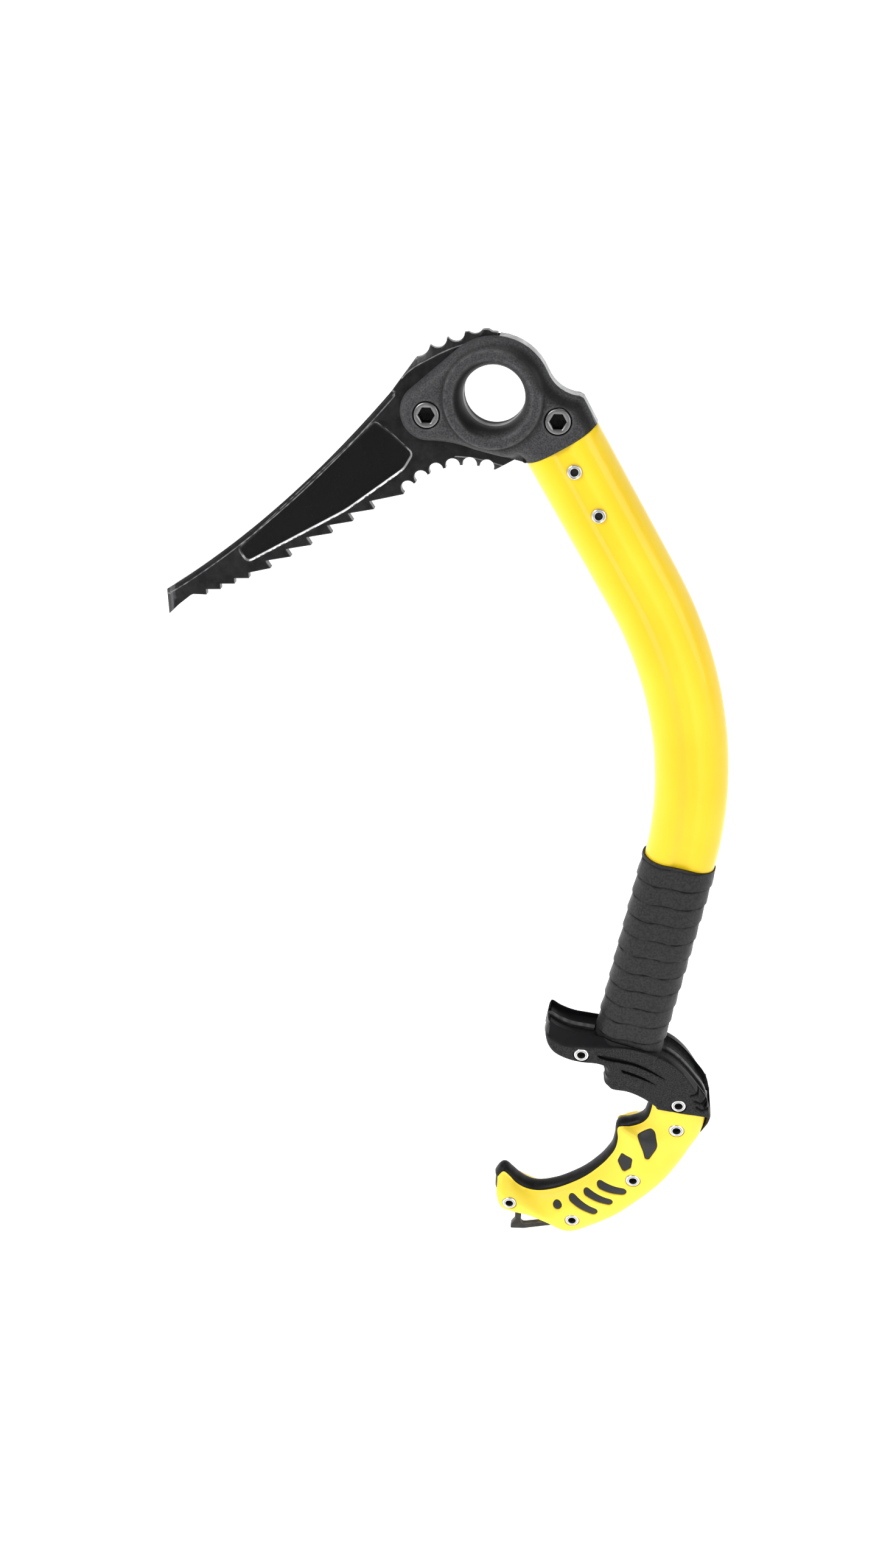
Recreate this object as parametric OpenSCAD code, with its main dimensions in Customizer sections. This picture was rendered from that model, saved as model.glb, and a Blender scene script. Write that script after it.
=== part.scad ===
// Ice climbing tool: toothed pick, ring head, bent shaft and offset pistol grip.
// X runs from the pick towards the spine of the grip, Y across the tool, Z up.
// The origin is the centre of the carabiner hole, half way through the head.

/* [Head] */
// Radius of the carabiner hole at its waist
hole_r = 13; // [11:0.5:14]
// Radius of the hole's flared lip
lip_r = 16; // [15:0.5:17.5]
// Length of the hole's straight waist
waist_len = 8; // [5:0.5:12]
// Width of the step between the raised ring round the hole and the head's round top
boss_in = 3.5; // [3.5:0.25:5]
// Height of the raised ring above the cheek
boss_h = 2.5; // [1:0.5:4]
// Radius of the head's round top
head_r = 24; // [23:0.5:26]
// Radius of the lobe round the pick bolt
lobe_r = 12; // [11:0.5:13]
// Radius of the hollow behind the head
nape_r = 16; // [13:0.5:20]
// Radius of the hollow below the pick bolt
chin_r = 50; // [30:1:80]
// Width of the round along a cheek's edge
edge_w = 3; // [1.5:0.25:3]
// Thickness of the spacer, let into both cheeks
spacer_t = 7; // [5:0.5:9]
// How far the spacer stands out of the head's outline
spacer_proud = 0.2; // [0.1:0.1:1]
// Gap between the pick's tail and the spacer
pick_gap = 0.8; // [0.4:0.1:1]
// Length of the tongues that the head has in the shaft
tongue_len = 44; // [40:1:60]

/* [Bolts] */
// Distance of the pick bolt ahead of the hole
pick_bolt_x = 27.5; // [26:0.5:30]
// Distance of the pick bolt below the hole
pick_bolt_z = 7.5; // [4:0.5:10]
// Distance of the shaft bolt behind the hole
shaft_bolt_x = 27; // [26:0.5:29]
// Distance of the shaft bolt below the hole
shaft_bolt_z = 8.5; // [7:0.5:10]
// Radius of a bolt's shank
bolt_r = 4; // [3:0.5:4.5]
// Radius of a bolt's head
bolt_head_r = 5.5; // [5:0.25:6]
// Height of a bolt's head
bolt_head_h = 4.8; // [4:0.1:5.5]
// Width across the flats of a bolt's socket
socket_af = 6; // [4:0.5:6.5]
// Depth of a bolt's socket
socket_d = 3.5; // [2:0.5:4]
// Width across the flats of a nut
nut_af = 13; // [11:0.5:14]
// Height of a nut
nut_h = 4.5; // [3.5:0.5:5]

/* [Pick] */
// Thickness of the pick
pick_t = 4; // [3:0.25:5]
// Distance between the coarse teeth
coarse_pitch = 11.2; // [10:0.1:12]
// Number of coarse teeth
coarse_count = 6; // [5:1:7]
// Depth of a coarse tooth
coarse_depth = 4; // [2:0.25:5]
// Distance between the fine teeth
fine_pitch = 7.4; // [6:0.1:8.5]
// Number of fine teeth
fine_count = 4; // [3:1:5]
// Depth of a fine tooth
fine_depth = 2.4; // [1.5:0.1:3]
// Height of the blunt front of the tip
tip_h = 12; // [9:0.5:14]
// Depth of the pocket in each side of the pick
pocket_d = 0.6; // [0.3:0.1:1]
// Width of the edge left on the tip
tip_edge = 1.6; // [1:0.1:2.5]
// Radius of the grip notches under the pick's heel
notch_r = 3.1; // [2.6:0.1:3.2]
// Depth of the scallops on top of the pick's heel
scallop_d = 2.5; // [1:0.1:3]

/* [Shaft] */
// Width of the shaft, in the plane of the tool
shaft_w = 34; // [32:0.5:35]
// Thickness of the shaft, across the tool
shaft_t = 19; // [18:0.5:21]
// Depth of the groove along each side of the shaft
groove_d = 1.3; // [0.9:0.1:1.8]
// Radius of the groove's floor
groove_r = 30; // [25:1:50]
// Wall of the shaft's tube
wall = 1.6; // [1.2:0.1:2]
// Distance from the hole to the shaft's end, along the shaft
neck_drop = 31; // [29:0.5:34]
// Distance from the hole to the shaft's centre line
neck_side = 14.6; // [14:0.1:16]
// Length of the straight back edge of the head, above the shaft
nape_len = 13; // [11:0.5:15]
// Lean of the shaft's upper part from the vertical, in degrees
head_tilt = 31; // [27:0.5:35]
// Angle through which the shaft bends, in degrees
shaft_bend = 40; // [34:0.5:46]
// Radius of the bend on the shaft's centre line
bend_r = 207; // [180:1:240]
// Length of the straight part above the bend
upper_len = 73; // [68:1:90]
// Length of the straight part below the bend, down to the grip
lower_len = 110; // [104:1:130]
// Depth of the socket that takes the shaft's lower end
socket_len = 3; // [2.5:0.5:4]
// Length of the tang that the grip has in the shaft
tang_len = 48; // [40:1:60]
// Clearance between fitted pieces
fit = 0.2; // [0.1:0.05:0.3]

/* [Rivets] */
// Radius of the flange of a shaft rivet
rivet_flange_r = 3.2; // [2.9:0.1:3.6]
// Outer radius of a shaft rivet's barrel
rivet_r = 2.2; // [1.8:0.1:2.5]
// Radius of the hole in a shaft rivet
rivet_hole_r = 1.6; // [1:0.1:1.7]
// Distance of the first shaft rivet from the head
rivet_start = 12; // [9:0.5:14]
// Distance between the two shaft rivets
rivet_gap = 21.5; // [18:0.5:25]
// Radius of the flange of a grip rivet
eyelet_flange_r = 3.9; // [3.5:0.1:4.2]
// Outer radius of a grip rivet's barrel
eyelet_r = 2.6; // [2.2:0.1:3]
// Radius of the hole in a grip rivet
eyelet_hole_r = 2; // [1.4:0.1:2.1]
// Height of the rivets' flanges
flange_h = 0.9; // [0.6:0.1:1.2]
// Radius of the pins that hold the tang
pin_r = 2.5; // [2:0.1:3]

/* [Tape] */
// Width of a lap of the grip tape
lap_pitch = 10.5; // [9:0.5:14]
// Thickness of the tape just below the next lap
tape_thin = 0.6; // [0.5:0.1:0.7]
// Thickness of the tape at a lap's free edge
tape_thick = 1; // [0.9:0.1:1.2]
// Length of shaft that is taped, above the grip
tape_len = 106; // [90:1:109]

/* [Grip] */
// Thickness of the frame's plate
frame_t = 4; // [3:0.25:5]
// Thickness of the rubber liner round the frame
liner_t = 8.6; // [7.5:0.1:9.5]
// How far the liner stands out of the shells
liner_proud = 1.3; // [0.5:0.1:2]
// Thickness of the grip across the upper shells at the horn
horn_t = 24; // [23.5:0.5:25]
// Thickness of the grip across the lower shells
grip_t = 26.5; // [25:0.5:29]
// Depth of the pads in the shells' windows, below the surface
pad_sink = 1; // [0.5:0.1:2]
// Width of the tether eye's bars
eye_bar = 3.6; // [3:0.1:4.5]

/* [Hidden] */
$fn = 48;
big = 400;

// Half thicknesses, measured from the middle plane of the tool
pick_y = pick_t / 2;
spacer_y = spacer_t / 2;
cheek_y = shaft_t / 2;
boss_y = cheek_y + boss_h;
boss_r = head_r - boss_in;
frame_y = frame_t / 2;
liner_y = liner_t / 2;

// Section of the shaft: two round lobes and a hollow floor between them
lobe_x = shaft_w / 2 - shaft_t / 2;
groove_y = shaft_t / 2 - groove_d;
groove_c = groove_y + groove_r;

// Places along the shaft, as [x, z]
shaft_dir = [sin(head_tilt), -cos(head_tilt)];
shaft_side = [cos(head_tilt), sin(head_tilt)];
seam = neck_drop * shaft_dir + neck_side * shaft_side;
bend_start = seam + upper_len * shaft_dir;
bend_centre = bend_start - bend_r * shaft_side;
grip_tilt = shaft_bend - head_tilt;
bend_end = bend_centre + bend_r * [cos(grip_tilt), -sin(grip_tilt)];
grip_origin = bend_end - lower_len * [sin(grip_tilt), cos(grip_tilt)];
rivet_places = [rivet_start, rivet_start + rivet_gap];
pin_places = [tang_len * 0.3, tang_len * 0.75];

// Bolt centres, as [x, z]
pick_bolt_c = [-pick_bolt_x, -pick_bolt_z];
shaft_bolt_c = [shaft_bolt_x, -shaft_bolt_z];

// Rails of the upper shells: finger edge, top edge and half thickness, in the grip's frame
upper_rails = [
    [[-43, -2], [-43.4, 6.4], 0.8], [[-40.8, -8], [-41.4, 6.8], 0.92], [[-37, -12.3], [-37, 4.8], 0.96],
    [[-30, -14.7], [-30, 3.4], 0.97], [[-22, -15.2], [-22, 3.6], 0.97], [[-14, -14], [-13, 3.9], 0.98],
    [[-8.5, -14.8], [-3, 3], 1], [[-5.6, -18.5], [6, 2.1], 1.01],
    [[-5.2, -23.5], [15, 0.8], 1.02], [[-2.6, -27.6], [24, -2], 1.03], [[5, -27.7], [32, -7.3], 1.05],
    [[12, -29], [39.5, -14.2], 1.06], [[17, -31], [46, -21.2], 1.08], [[21, -33], [50.6, -31], 1.1]];

// Rails of the lower shells: finger edge, back edge and half thickness
lower_rails = [
    [[21, -33.3], [50.6, -31.3], 0.97], [[22.6, -42], [50.4, -38], 1], [[22.6, -47.5], [49.8, -43], 1],
    [[20, -53], [49, -48], 1], [[14.2, -56.8], [47.8, -53], 1], [[8, -59.4], [46.4, -58.5], 1],
    [[9.2, -65], [44.8, -65], 1], [[10.6, -72], [42.6, -72.5], 1], [[9.2, -79], [39.4, -82], 1],
    [[5.4, -87], [35.2, -90.8], 1], [[-2, -98], [29, -101.5], 1], [[-12.5, -108.2], [20, -115], 1],
    [[-21, -114.2], [9.5, -126], 1], [[-28, -116.6], [-2.5, -135], 1], [[-34.6, -115.6], [-15, -132], 0.98],
    [[-39.6, -112.2], [-26.5, -129.8], 0.95], [[-43.4, -108.8], [-37, -130], 0.92],
    [[-46.6, -107.4], [-44, -129], 0.85], [[-48.4, -110.8], [-47.8, -121.5], 0.68]];

// Window shapes in the lower shells: rounded corners as [u, v, radius], slots as [from, to, radius]
wing_window = [[17.6, -54.4, 0.8], [23.6, -46.6, 2.2], [28.4, -57, 8], [26.2, -69.6, 1.6], [22, -64, 8]];
square_window = [[11.6, -69.6, 1.4], [18.2, -70.6, 1.2], [16, -80, 1.6], [10.8, -75.6, 1.6]];
slot_windows = [[[5.4, -92.2], [17.4, -94.8], 2.6], [[-0.4, -99.8], [11.6, -104.6], 2.6],
                [[-7, -105.8], [4.8, -112.6], 2.6], [[-14.4, -113.6], [-14.2, -114.6], 2.4]];

// Rivet centres in the grip's frame
upper_eyelets = [[-22.8, -8.8], [32.8, -28]];
lower_eyelets = [[35.6, -44.2], [21.4, -84.8], [-4.4, -122.6], [-40.2, -121]];
// The share of its thickness that the grip keeps at each rivet
upper_eyelet_share = [0.97, 1.06];
lower_eyelet_share = [1, 1, 1, 0.9];

// Points on an arc from angle a to angle b, and the same without the last point
function on_arc(c, r, a) = c + r * [cos(a), sin(a)];
function arc(c, r, a, b, n) = [for (i = [0:n]) on_arc(c, r, a + (b - a) * i / n)];
function open_arc(c, r, a, b, n) = [for (i = [0:n - 1]) on_arc(c, r, a + (b - a) * i / n)];

// Length, direction and angle of a flat vector
function size(v) = sqrt(v[0] * v[0] + v[1] * v[1]);
function unit(v) = v / size(v);
function turn(v) = atan2(v[1], v[0]);
function positive(a) = a < 0 ? a + 360 : a;

// The point at distance r1 from c1 and r2 from c2, to the left of the way from c1 to c2
function meet(c1, r1, c2, r2) =
    let (d = size(c2 - c1), u = (c2 - c1) / d, a = (d * d + r1 * r1 - r2 * r2) / (2 * d))
    c1 + a * u + sqrt(max(0, r1 * r1 - a * a)) * [-u[1], u[0]];

// A closed outline with each corner [x, y, r] rounded by its radius
function rounded(pts, steps = 6) = [for (i = [0:len(pts) - 1])
    let (n = len(pts), p = [pts[i][0], pts[i][1]], r = pts[i][2],
         before = pts[(i + n - 1) % n], after = pts[(i + 1) % n],
         u = unit([before[0], before[1]] - p), v = unit([after[0], after[1]] - p),
         half = acos(u * v) / 2, c = p + unit(u + v) * r / sin(half),
         a = turn(p + u * r / tan(half) - c), b = turn(p + v * r / tan(half) - c),
         sweep = (b - a + 540) % 360 - 180)
    each arc(c, r, a, a + sweep, steps)];

// A smooth curve through points, with n steps between each pair
function mixed(a, b, c, d, t) =
    ((2 * b) + (c - a) * t + (2 * a - 5 * b + 4 * c - d) * t * t + (3 * b - a - 3 * c + d) * t * t * t) / 2;
function smooth(pts, n) = concat([for (i = [0:len(pts) - 2], j = [0:n - 1])
    mixed(pts[max(i - 1, 0)], pts[i], pts[i + 1], pts[min(i + 2, len(pts) - 1)], j / n)],
    [pts[len(pts) - 1]]);

// A curve that leaves p towards c and arrives at q from c
function bezier(p, c, q, n) = [for (i = [0:n]) let (t = i / n, s = 1 - t) s * s * p + 2 * s * t * c + t * t * q];

// Columns of a list of rails
function finger_rail(rails) = [for (r = rails) r[0]];
function back_rail(rails) = [for (r = rails) r[1]];
function thick_rail(rails) = [for (r = rails) r[2]];

// A plate drawn in the plane of the tool and standing from y0 to y1 across it
module slab(y0, y1) {
    rotate([90, 0, 0]) translate([0, 0, -y1]) linear_extrude(y1 - y0) children();
}

// A round bar across the tool at the point c, from y0 to y1
module cross(c, r, y0, y1, sides = 48) {
    translate([c[0], y1, c[1]]) rotate([90, 0, 0]) cylinder(r = r, h = y1 - y0, $fn = sides);
}

// The frames of the shaft's top and of the grip: Z along the shaft, X towards its back
module at_seam() {
    translate([seam[0], 0, seam[1]]) rotate([0, -head_tilt, 0]) children();
}
module at_grip() {
    translate([grip_origin[0], 0, grip_origin[1]]) rotate([0, grip_tilt, 0]) children();
}

// A solid through a list of rings with the same number of points
module loft(rings) {
    m = len(rings[0]);
    last = (len(rings) - 1) * m;
    sides = [for (i = [0:len(rings) - 2], j = [0:m - 1])
        let (a = i * m + j, b = i * m + (j + 1) % m)
        each [[a, b, b + m], [a, b + m, a + m]]];
    caps = [[for (j = [m - 1:-1:0]) j], [for (j = [0:m - 1]) last + j]];
    polyhedron(points = [for (r = rings) each r], faces = concat(sides, caps), convexity = 10);
}

// The shaft's section, drawn smaller all round by an inset
module bone(inset = 0) {
    r = shaft_t / 2 - inset;
    for (s = [-1, 1]) translate([s * lobe_x, 0]) circle(r);
    difference() {
        square([2 * lobe_x, 2 * r - groove_d], center = true);
        for (s = [-1, 1]) translate([0, s * groove_c]) circle(groove_r + inset);
    }
}

// Half of the section, on the front (-1) or the rear (1) of a middle plate
module half_bone(inset, side, gap) {
    intersection() {
        bone(inset);
        translate([-shaft_w, side < 0 ? -shaft_t - gap : gap]) square([2 * shaft_w, shaft_t]);
    }
}

// The bent bar that the shaft's section sweeps, longer at both ends by over.
// The straight parts run a little into the bend and are a hair fuller, so that all three join cleanly.
bend_lap = 0.5;
hair = 0.01;
module shaft_sweep(inset, over) {
    at_seam() translate([0, 0, -upper_len - bend_lap])
        linear_extrude(upper_len + bend_lap + over) bone(inset - hair);
    translate([bend_centre[0], 0, bend_centre[1]]) rotate([90, 0, 0]) rotate([0, 0, -grip_tilt])
        rotate_extrude(angle = shaft_bend, $fn = 180) translate([bend_r, 0]) bone(inset);
    at_grip() translate([0, 0, -socket_len - over])
        linear_extrude(lower_len + socket_len + bend_lap + over) bone(inset - hair);
}

// Outline of the head, with its edge drawn in by d and its neck half as wide as neck
nape_corner = seam + shaft_w / 2 * shaft_side - nape_len * shaft_dir;
nape_c = meet([0, 0], head_r + nape_r, nape_corner, nape_r);
chin_c = meet([0, 0], head_r + chin_r, pick_bolt_c, lobe_r + chin_r);
brow_turn = turn(-pick_bolt_c) + asin((head_r - lobe_r) / size(pick_bolt_c)) + 90;
function nape_end(d) =
    let (o = nape_c - seam, s = shaft_w / 2 - d, gap = s - o * shaft_side)
    seam + s * shaft_side + (o * shaft_dir + sqrt(pow(nape_r + d, 2) - gap * gap)) * shaft_dir;
function head_outline(d, neck) = concat(
    open_arc(nape_c, nape_r + d, turn(nape_end(d) - nape_c) - 4, turn(nape_c) - 180, 8),
    arc([0, 0], head_r - d, turn(nape_c), brow_turn, 14),
    open_arc(pick_bolt_c, lobe_r - d, brow_turn, positive(turn(chin_c - pick_bolt_c)), 16),
    arc(chin_c, chin_r + d, turn(pick_bolt_c - chin_c), turn(-chin_c), 8),
    [seam - neck * shaft_side, seam + neck * shaft_side],
    [nape_end(d) + shaft_dir]);

// Half width of the shaft at a height y above the middle plane
function neck_at(y) = lobe_x + sqrt(max(0, pow(shaft_t / 2, 2) - y * y));

// Width by which a cheek's edge is drawn in at a height y
function edge_at(y) = edge_w * (1 - sqrt(max(0, 1 - pow((y - pick_y) / (cheek_y - pick_y), 2))));

// One cheek on the rear side, without its bolt seats
module cheek_blank() {
    levels = [for (f = [0, 0.4, 0.65, 0.83, 0.95, 1]) pick_y + f * (cheek_y - pick_y)];
    flare = (pow(boss_y - waist_len / 2, 2) + pow(lip_r - hole_r, 2)) / (2 * (lip_r - hole_r));
    difference() {
        union() {
            loft([for (y = levels) [for (p = head_outline(edge_at(y), neck_at(y))) [p[0], y, p[1]]]]);
            cross([0, 0], boss_r, pick_y + 1, boss_y, 96);
            at_seam() translate([0, 0, -tongue_len])
                linear_extrude(tongue_len + tongue_root) half_bone(wall + fit, 1, spacer_y);
        }
        slab(0, spacer_y) behind_pick(pick_gap - fit / 2);
        cross([0, 0], hole_r, 0, big, 96);
        rotate([-90, 0, 0]) rotate_extrude($fn = 96) difference() {
            translate([0, waist_len / 2]) square([lip_r + boss_h, boss_y - waist_len / 2]);
            translate([hole_r + flare, waist_len / 2]) circle(flare, $fn = 128);
            translate([lip_r, boss_y]) square([2 * boss_h, 2 * boss_h], center = true);
        }
        for (s = rivet_places) at_seam() cross([0, -s], rivet_r + fit, 0, big);
        for (c = [pick_bolt_c, shaft_bolt_c]) cross(c, bolt_r + fit, 0, big);
    }
}

module front_cheek() {
    color("dimgray") difference() {
        mirror([0, 1, 0]) cheek_blank();
        for (c = [pick_bolt_c, shaft_bolt_c]) cross(c, bolt_head_r + fit, -big, bolt_head_h - cheek_y);
    }
}

module rear_cheek() {
    color("dimgray") difference() {
        cheek_blank();
        for (c = [pick_bolt_c, shaft_bolt_c]) cross(c, nut_af / sqrt(3) + fit, cheek_y - nut_h, big, 6);
    }
}

// Length by which a tongue's root reaches into the head
tongue_root = 3;

// Where the pick ends and the spacer begins, above and below the hole
tail_top_x = 1;
tail_low_x = 12;

// The side of the head that the spacer fills, at a gap from the pick's tail
module behind_pick(gap) {
    polygon([[big, big], [tail_top_x + gap, big], [tail_top_x + gap, 0], [tail_low_x + gap, 0],
             [tail_low_x + gap, -big], [big, -big]]);
}

module head_spacer() {
    color("silver") difference() {
        union() {
            slab(-spacer_y, spacer_y) intersection() {
                polygon(head_outline(-spacer_proud, shaft_w / 2));
                difference() {
                    behind_pick(pick_gap);
                    circle(hole_r, $fn = 96);
                }
            }
            at_seam() translate([0, 0, -tongue_len]) linear_extrude(tongue_len + tongue_root) intersection() {
                bone(wall + fit);
                square([2 * shaft_w, spacer_t], center = true);
            }
        }
        for (s = rivet_places) at_seam() cross([0, -s], rivet_r + fit, -big, big);
        cross(shaft_bolt_c, bolt_r + fit, -big, big);
    }
}

// The pick's teeth, from the heel to the tip: a root and a point for each
heel_arch_c = [-9.9, -67.1];
heel_arch_r = 37;
heel_turn = 141;
notch_step = 11.3;
heel = on_arc(heel_arch_c, heel_arch_r, heel_turn);
coarse_dir = [cos(31.5), sin(31.5)];
fine_dir = [cos(23.5), sin(23.5)];
first_coarse = heel - 14.7 * [cos(29), sin(29)];
first_fine = first_coarse - (coarse_count - 1) * coarse_pitch * coarse_dir - 11.5 * [cos(27), sin(27)];
last_fine = first_fine - (fine_count - 1) * fine_pitch * fine_dir;
tip = last_fine - [18.8, 10.6];
tip_top = tip + [0, tip_h];
brow = [-44, -1];
// The scallops on top of the heel: both ends and a share of the depth
crown = [[[-32.6, 14.2], [-26.9, 19.2], 0.55], [[-26.6, 19.2], [-19.9, 22.4], 1],
         [[-19.5, 22.5], [-12.6, 24.7], 1.1], [[-11, 24.9], [-5.4, 25.9], 0.5]];

// A hollow arc of depth d from a to b
function sagged(a, b, d, n) =
    let (w = size(b - a), r = (w * w / 4 + d * d) / (2 * d), u = (b - a) / w,
         c = (a + b) / 2 + (r - d) * [-u[1], u[0]], half = acos((r - d) / r), low = turn(u) - 90)
    arc(c, r, low - half, low + half, n);

function teeth(start, dir, pitch, count, depth, lean) = [for (k = [0:count - 1])
    let (p = start - k * pitch * dir)
    each [p + depth * [-dir[1], dir[0]] + lean * dir, p]];

module pick_outline() {
    tail_low = [tail_low_x, tail_low_x * tan(head_tilt) - 32.4];
    polygon(concat(
        teeth(first_coarse, coarse_dir, coarse_pitch, coarse_count, coarse_depth, 0),
        teeth(first_fine, fine_dir, fine_pitch, fine_count, fine_depth, 1),
        [last_fine - [6.2, 0], last_fine - [7.6, 0.7], tip + [5.4, 5.2], tip],
        bezier(tip_top, [(brow[0] + tip[0]) / 2 + 2.5, (brow[1] + tip_top[1]) / 2 - 10.8], brow, 20),
        [for (c = crown) each sagged(c[0], c[1], c[2] * scallop_d, 8)],
        [[-3, 26.1], [-1.4, 25.2], [tail_top_x, 25], [tail_top_x, 0], [tail_low_x, 0], tail_low],
        arc(heel_arch_c, heel_arch_r, heel_turn - 6 * notch_step, heel_turn, 16)));
}

module pick_pocket() {
    polygon(rounded([[-114, -71.5, 2.4], [-50.4, -12, 2.5], [-44, -16.4, 6], [-33.6, -25.6, 3],
                     [-38, -33, 10], [-64, -52.4, 60], [-110, -78.4, 3]]));
}

module pick() {
    color("#2b2b2d") difference() {
        slab(-pick_y, pick_y) difference() {
            pick_outline();
            circle(hole_r, $fn = 96);
            translate(pick_bolt_c) circle(bolt_r + fit);
            for (k = [0:5]) translate(on_arc(heel_arch_c, heel_arch_r + 0.4, heel_turn - (k + 0.5) * notch_step))
                circle(notch_r);
        }
        for (s = [-1, 1]) slab(s > 0 ? pick_y - pocket_d : -big, s > 0 ? big : pocket_d - pick_y) pick_pocket();
        for (s = [-1, 1]) tip_bevel(s);
    }
}

// A cut that thins one side of the tip down to a chisel edge
tip_run = 18;
tip_slope = 40;
module tip_bevel(side) {
    lean = atan2(pick_y - tip_edge / 2, tip_run);
    mirror([0, side < 0 ? 1 : 0, 0]) translate([tip[0], tip_edge / 2, tip[1]])
        rotate([0, -tip_slope, 0]) rotate([0, 0, lean])
        translate([-2 * tip_run, 0, -2 * tip_run]) cube([4 * tip_run, 2 * tip_run, 4 * tip_run]);
}

// A bolt with a round head and a hex socket, and its nut
module bolt(c) {
    color("#4a4c50") difference() {
        union() {
            cross(c, bolt_head_r, -cheek_y, bolt_head_h - cheek_y);
            cross(c, bolt_r, (socket_d + bolt_head_h) / 2 - cheek_y, cheek_y - 0.4);
        }
        cross(c, socket_af / sqrt(3), -big, socket_d - cheek_y, 6);
    }
}

module nut(c) {
    color("#6d7075") difference() {
        cross(c, nut_af / sqrt(3), cheek_y - nut_h, cheek_y - 0.4, 6);
        cross(c, bolt_r + fit / 2, -big, big);
    }
}

module pick_bolt() { bolt(pick_bolt_c); }
module shaft_bolt() { bolt(shaft_bolt_c); }
module pick_nut() { nut(pick_bolt_c); }
module shaft_nut() { nut(shaft_bolt_c); }

module shaft_tube() {
    color("#f2d714") difference() {
        shaft_sweep(0, 0);
        shaft_sweep(wall, 1);
        for (s = rivet_places) at_seam() cross([0, -s], rivet_r + fit, -big, big);
        for (s = pin_places) at_grip() cross([0, s], pin_r + fit, -big, big);
    }
}

// A tubular rivet across the tool, with its flanges resting at seat from the middle plane
module eyelet(c, seat, barrel_r, flange_r, bore_r) {
    difference() {
        union() {
            cross(c, barrel_r, -seat - flange_h, seat + flange_h);
            for (s = [-1, 1]) cross(c, flange_r, s > 0 ? seat : -seat - flange_h, s > 0 ? seat + flange_h : -seat);
        }
        cross(c, bore_r, -big, big);
    }
}

// The rivets' flanges bridge the groove and rest on its two sides
shaft_rivet_seat = groove_c - sqrt(groove_r * groove_r - rivet_flange_r * rivet_flange_r) + fit / 2;

module shaft_rivets() {
    color("gainsboro") for (s = rivet_places)
        at_seam() eyelet([0, -s], shaft_rivet_seat, rivet_r, rivet_flange_r, rivet_hole_r);
}

module tang_pins() {
    color("gray") for (s = pin_places) at_grip() cross([0, s], pin_r, -groove_y, groove_y);
}

// A rail made longer, or shorter, at its first and at its last end
function longer(rail, first, last) = let (n = len(rail) - 1) [for (i = [0:n])
    i == 0 ? rail[0] + first * unit(rail[0] - rail[1]) :
    i == n ? rail[n] + last * unit(rail[n] - rail[n - 1]) : rail[i]];

// The area between two rails, drawn in from both and made longer at both ends.
// Its points lie half way between the shells' own, so that none falls on an edge of theirs.
function between(pts) = let (n = len(pts) - 1)
    concat([pts[0]], [for (i = [1:n - 2]) (pts[i] + pts[i + 1]) / 2], [pts[n]]);
function plate_outline(rails, finger_in, back_in, first, last) =
    let (f = longer(between(smooth(finger_rail(rails), 3)), first, last),
         b = longer(between(smooth(back_rail(rails), 3)), first, last), n = len(f) - 1)
    concat([for (i = [0:n]) f[i] + min(finger_in, size(b[i] - f[i]) / 3) * unit(b[i] - f[i])],
           [for (i = [n:-1:0]) b[i] + min(back_in, size(b[i] - f[i]) / 3) * unit(f[i] - b[i])]);

frame_finger_in = 4;
frame_back_in = 0.5;
frame_lap = 2;
groove_in = 2;
tape_room = tape_thick + 2 * fit;

module eye_outline() {
    difference() {
        polygon(rounded([[-36, -124, 2], [-34.6, -142.6, 3], [-36.2, -146, 1], [-35.4, -150.4, 0.6],
                         [-30, -148.4, 8], [-4, -136.6, 4], [-8, -124, 2]]));
        polygon(rounded([[eye_bar - 35.8, -128, 1], [eye_bar - 34.6, -144.8, 2], [-13.6, -137.8, 1],
                         [-14, -128, 1]]));
    }
}

module handle_frame() {
    color("#3c3e42") difference() {
        union() {
            at_grip() slab(-frame_y, frame_y) difference() {
                union() {
                    polygon(plate_outline(upper_rails, 1.5, groove_in, -0.3, frame_lap));
                    polygon(plate_outline(lower_rails, frame_finger_in, frame_back_in, frame_lap, -0.3));
                    eye_outline();
                }
                translate([-shaft_w / 2 - tape_room, -socket_len - fit])
                    square([shaft_w + 2 * tape_room, socket_len + tang_len]);
                for (c = concat(upper_eyelets, lower_eyelets)) translate(c) circle(eyelet_r + fit);
            }
            at_grip() slab(-frame_y, frame_y) translate([-lobe_x, -4 * socket_len])
                square([2 * lobe_x, 5 * socket_len]);
            at_grip() translate([0, 0, -socket_len]) linear_extrude(tang_len + socket_len) bone(wall + fit);
        }
        for (s = pin_places) at_grip() cross([0, s], pin_r + fit, -big, big);
    }
}

// The windows' shapes, drawn smaller by an inset
module windows(inset) {
    for (w = [wing_window, square_window]) {
        pts = rounded(w);
        c = [for (p = w) 1] * [for (p = w) [p[0], p[1]]] / len(w);
        polygon([for (p = pts) p - inset * unit(p - c)]);
    }
    for (w = slot_windows) slot(w[0], w[1], w[2] - inset);
}

module slot(p, q, r) {
    a = turn(q - p);
    polygon(concat(arc(p, r, a + 90, a + 270, 10), arc(q, r, a - 90, a + 90, 10)));
}

liner_back_in = 4;
function liner_outline(grow, first, last) =
    plate_outline(lower_rails, -liner_proud - grow, liner_back_in - grow, first, last);

module grip_liner() {
    color("#1b1b1c") at_grip() difference() {
        union() {
            slab(-liner_y, liner_y) polygon(liner_outline(0, -fit, liner_proud));
            for (s = [0, 1]) mirror([0, s, 0]) intersection() {
                shell_blank(lower_rails, grip_t / 2 - pad_sink, 1, lower_power);
                slab(0, big) windows(fit);
            }
        }
        slab(-frame_y - fit / 2, frame_y + fit / 2)
            polygon(plate_outline(lower_rails, frame_finger_in - fit, -liner_proud, frame_lap, fit));
        for (c = lower_eyelets) cross(c, eyelet_r + fit, -big, big);
    }
}

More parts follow.
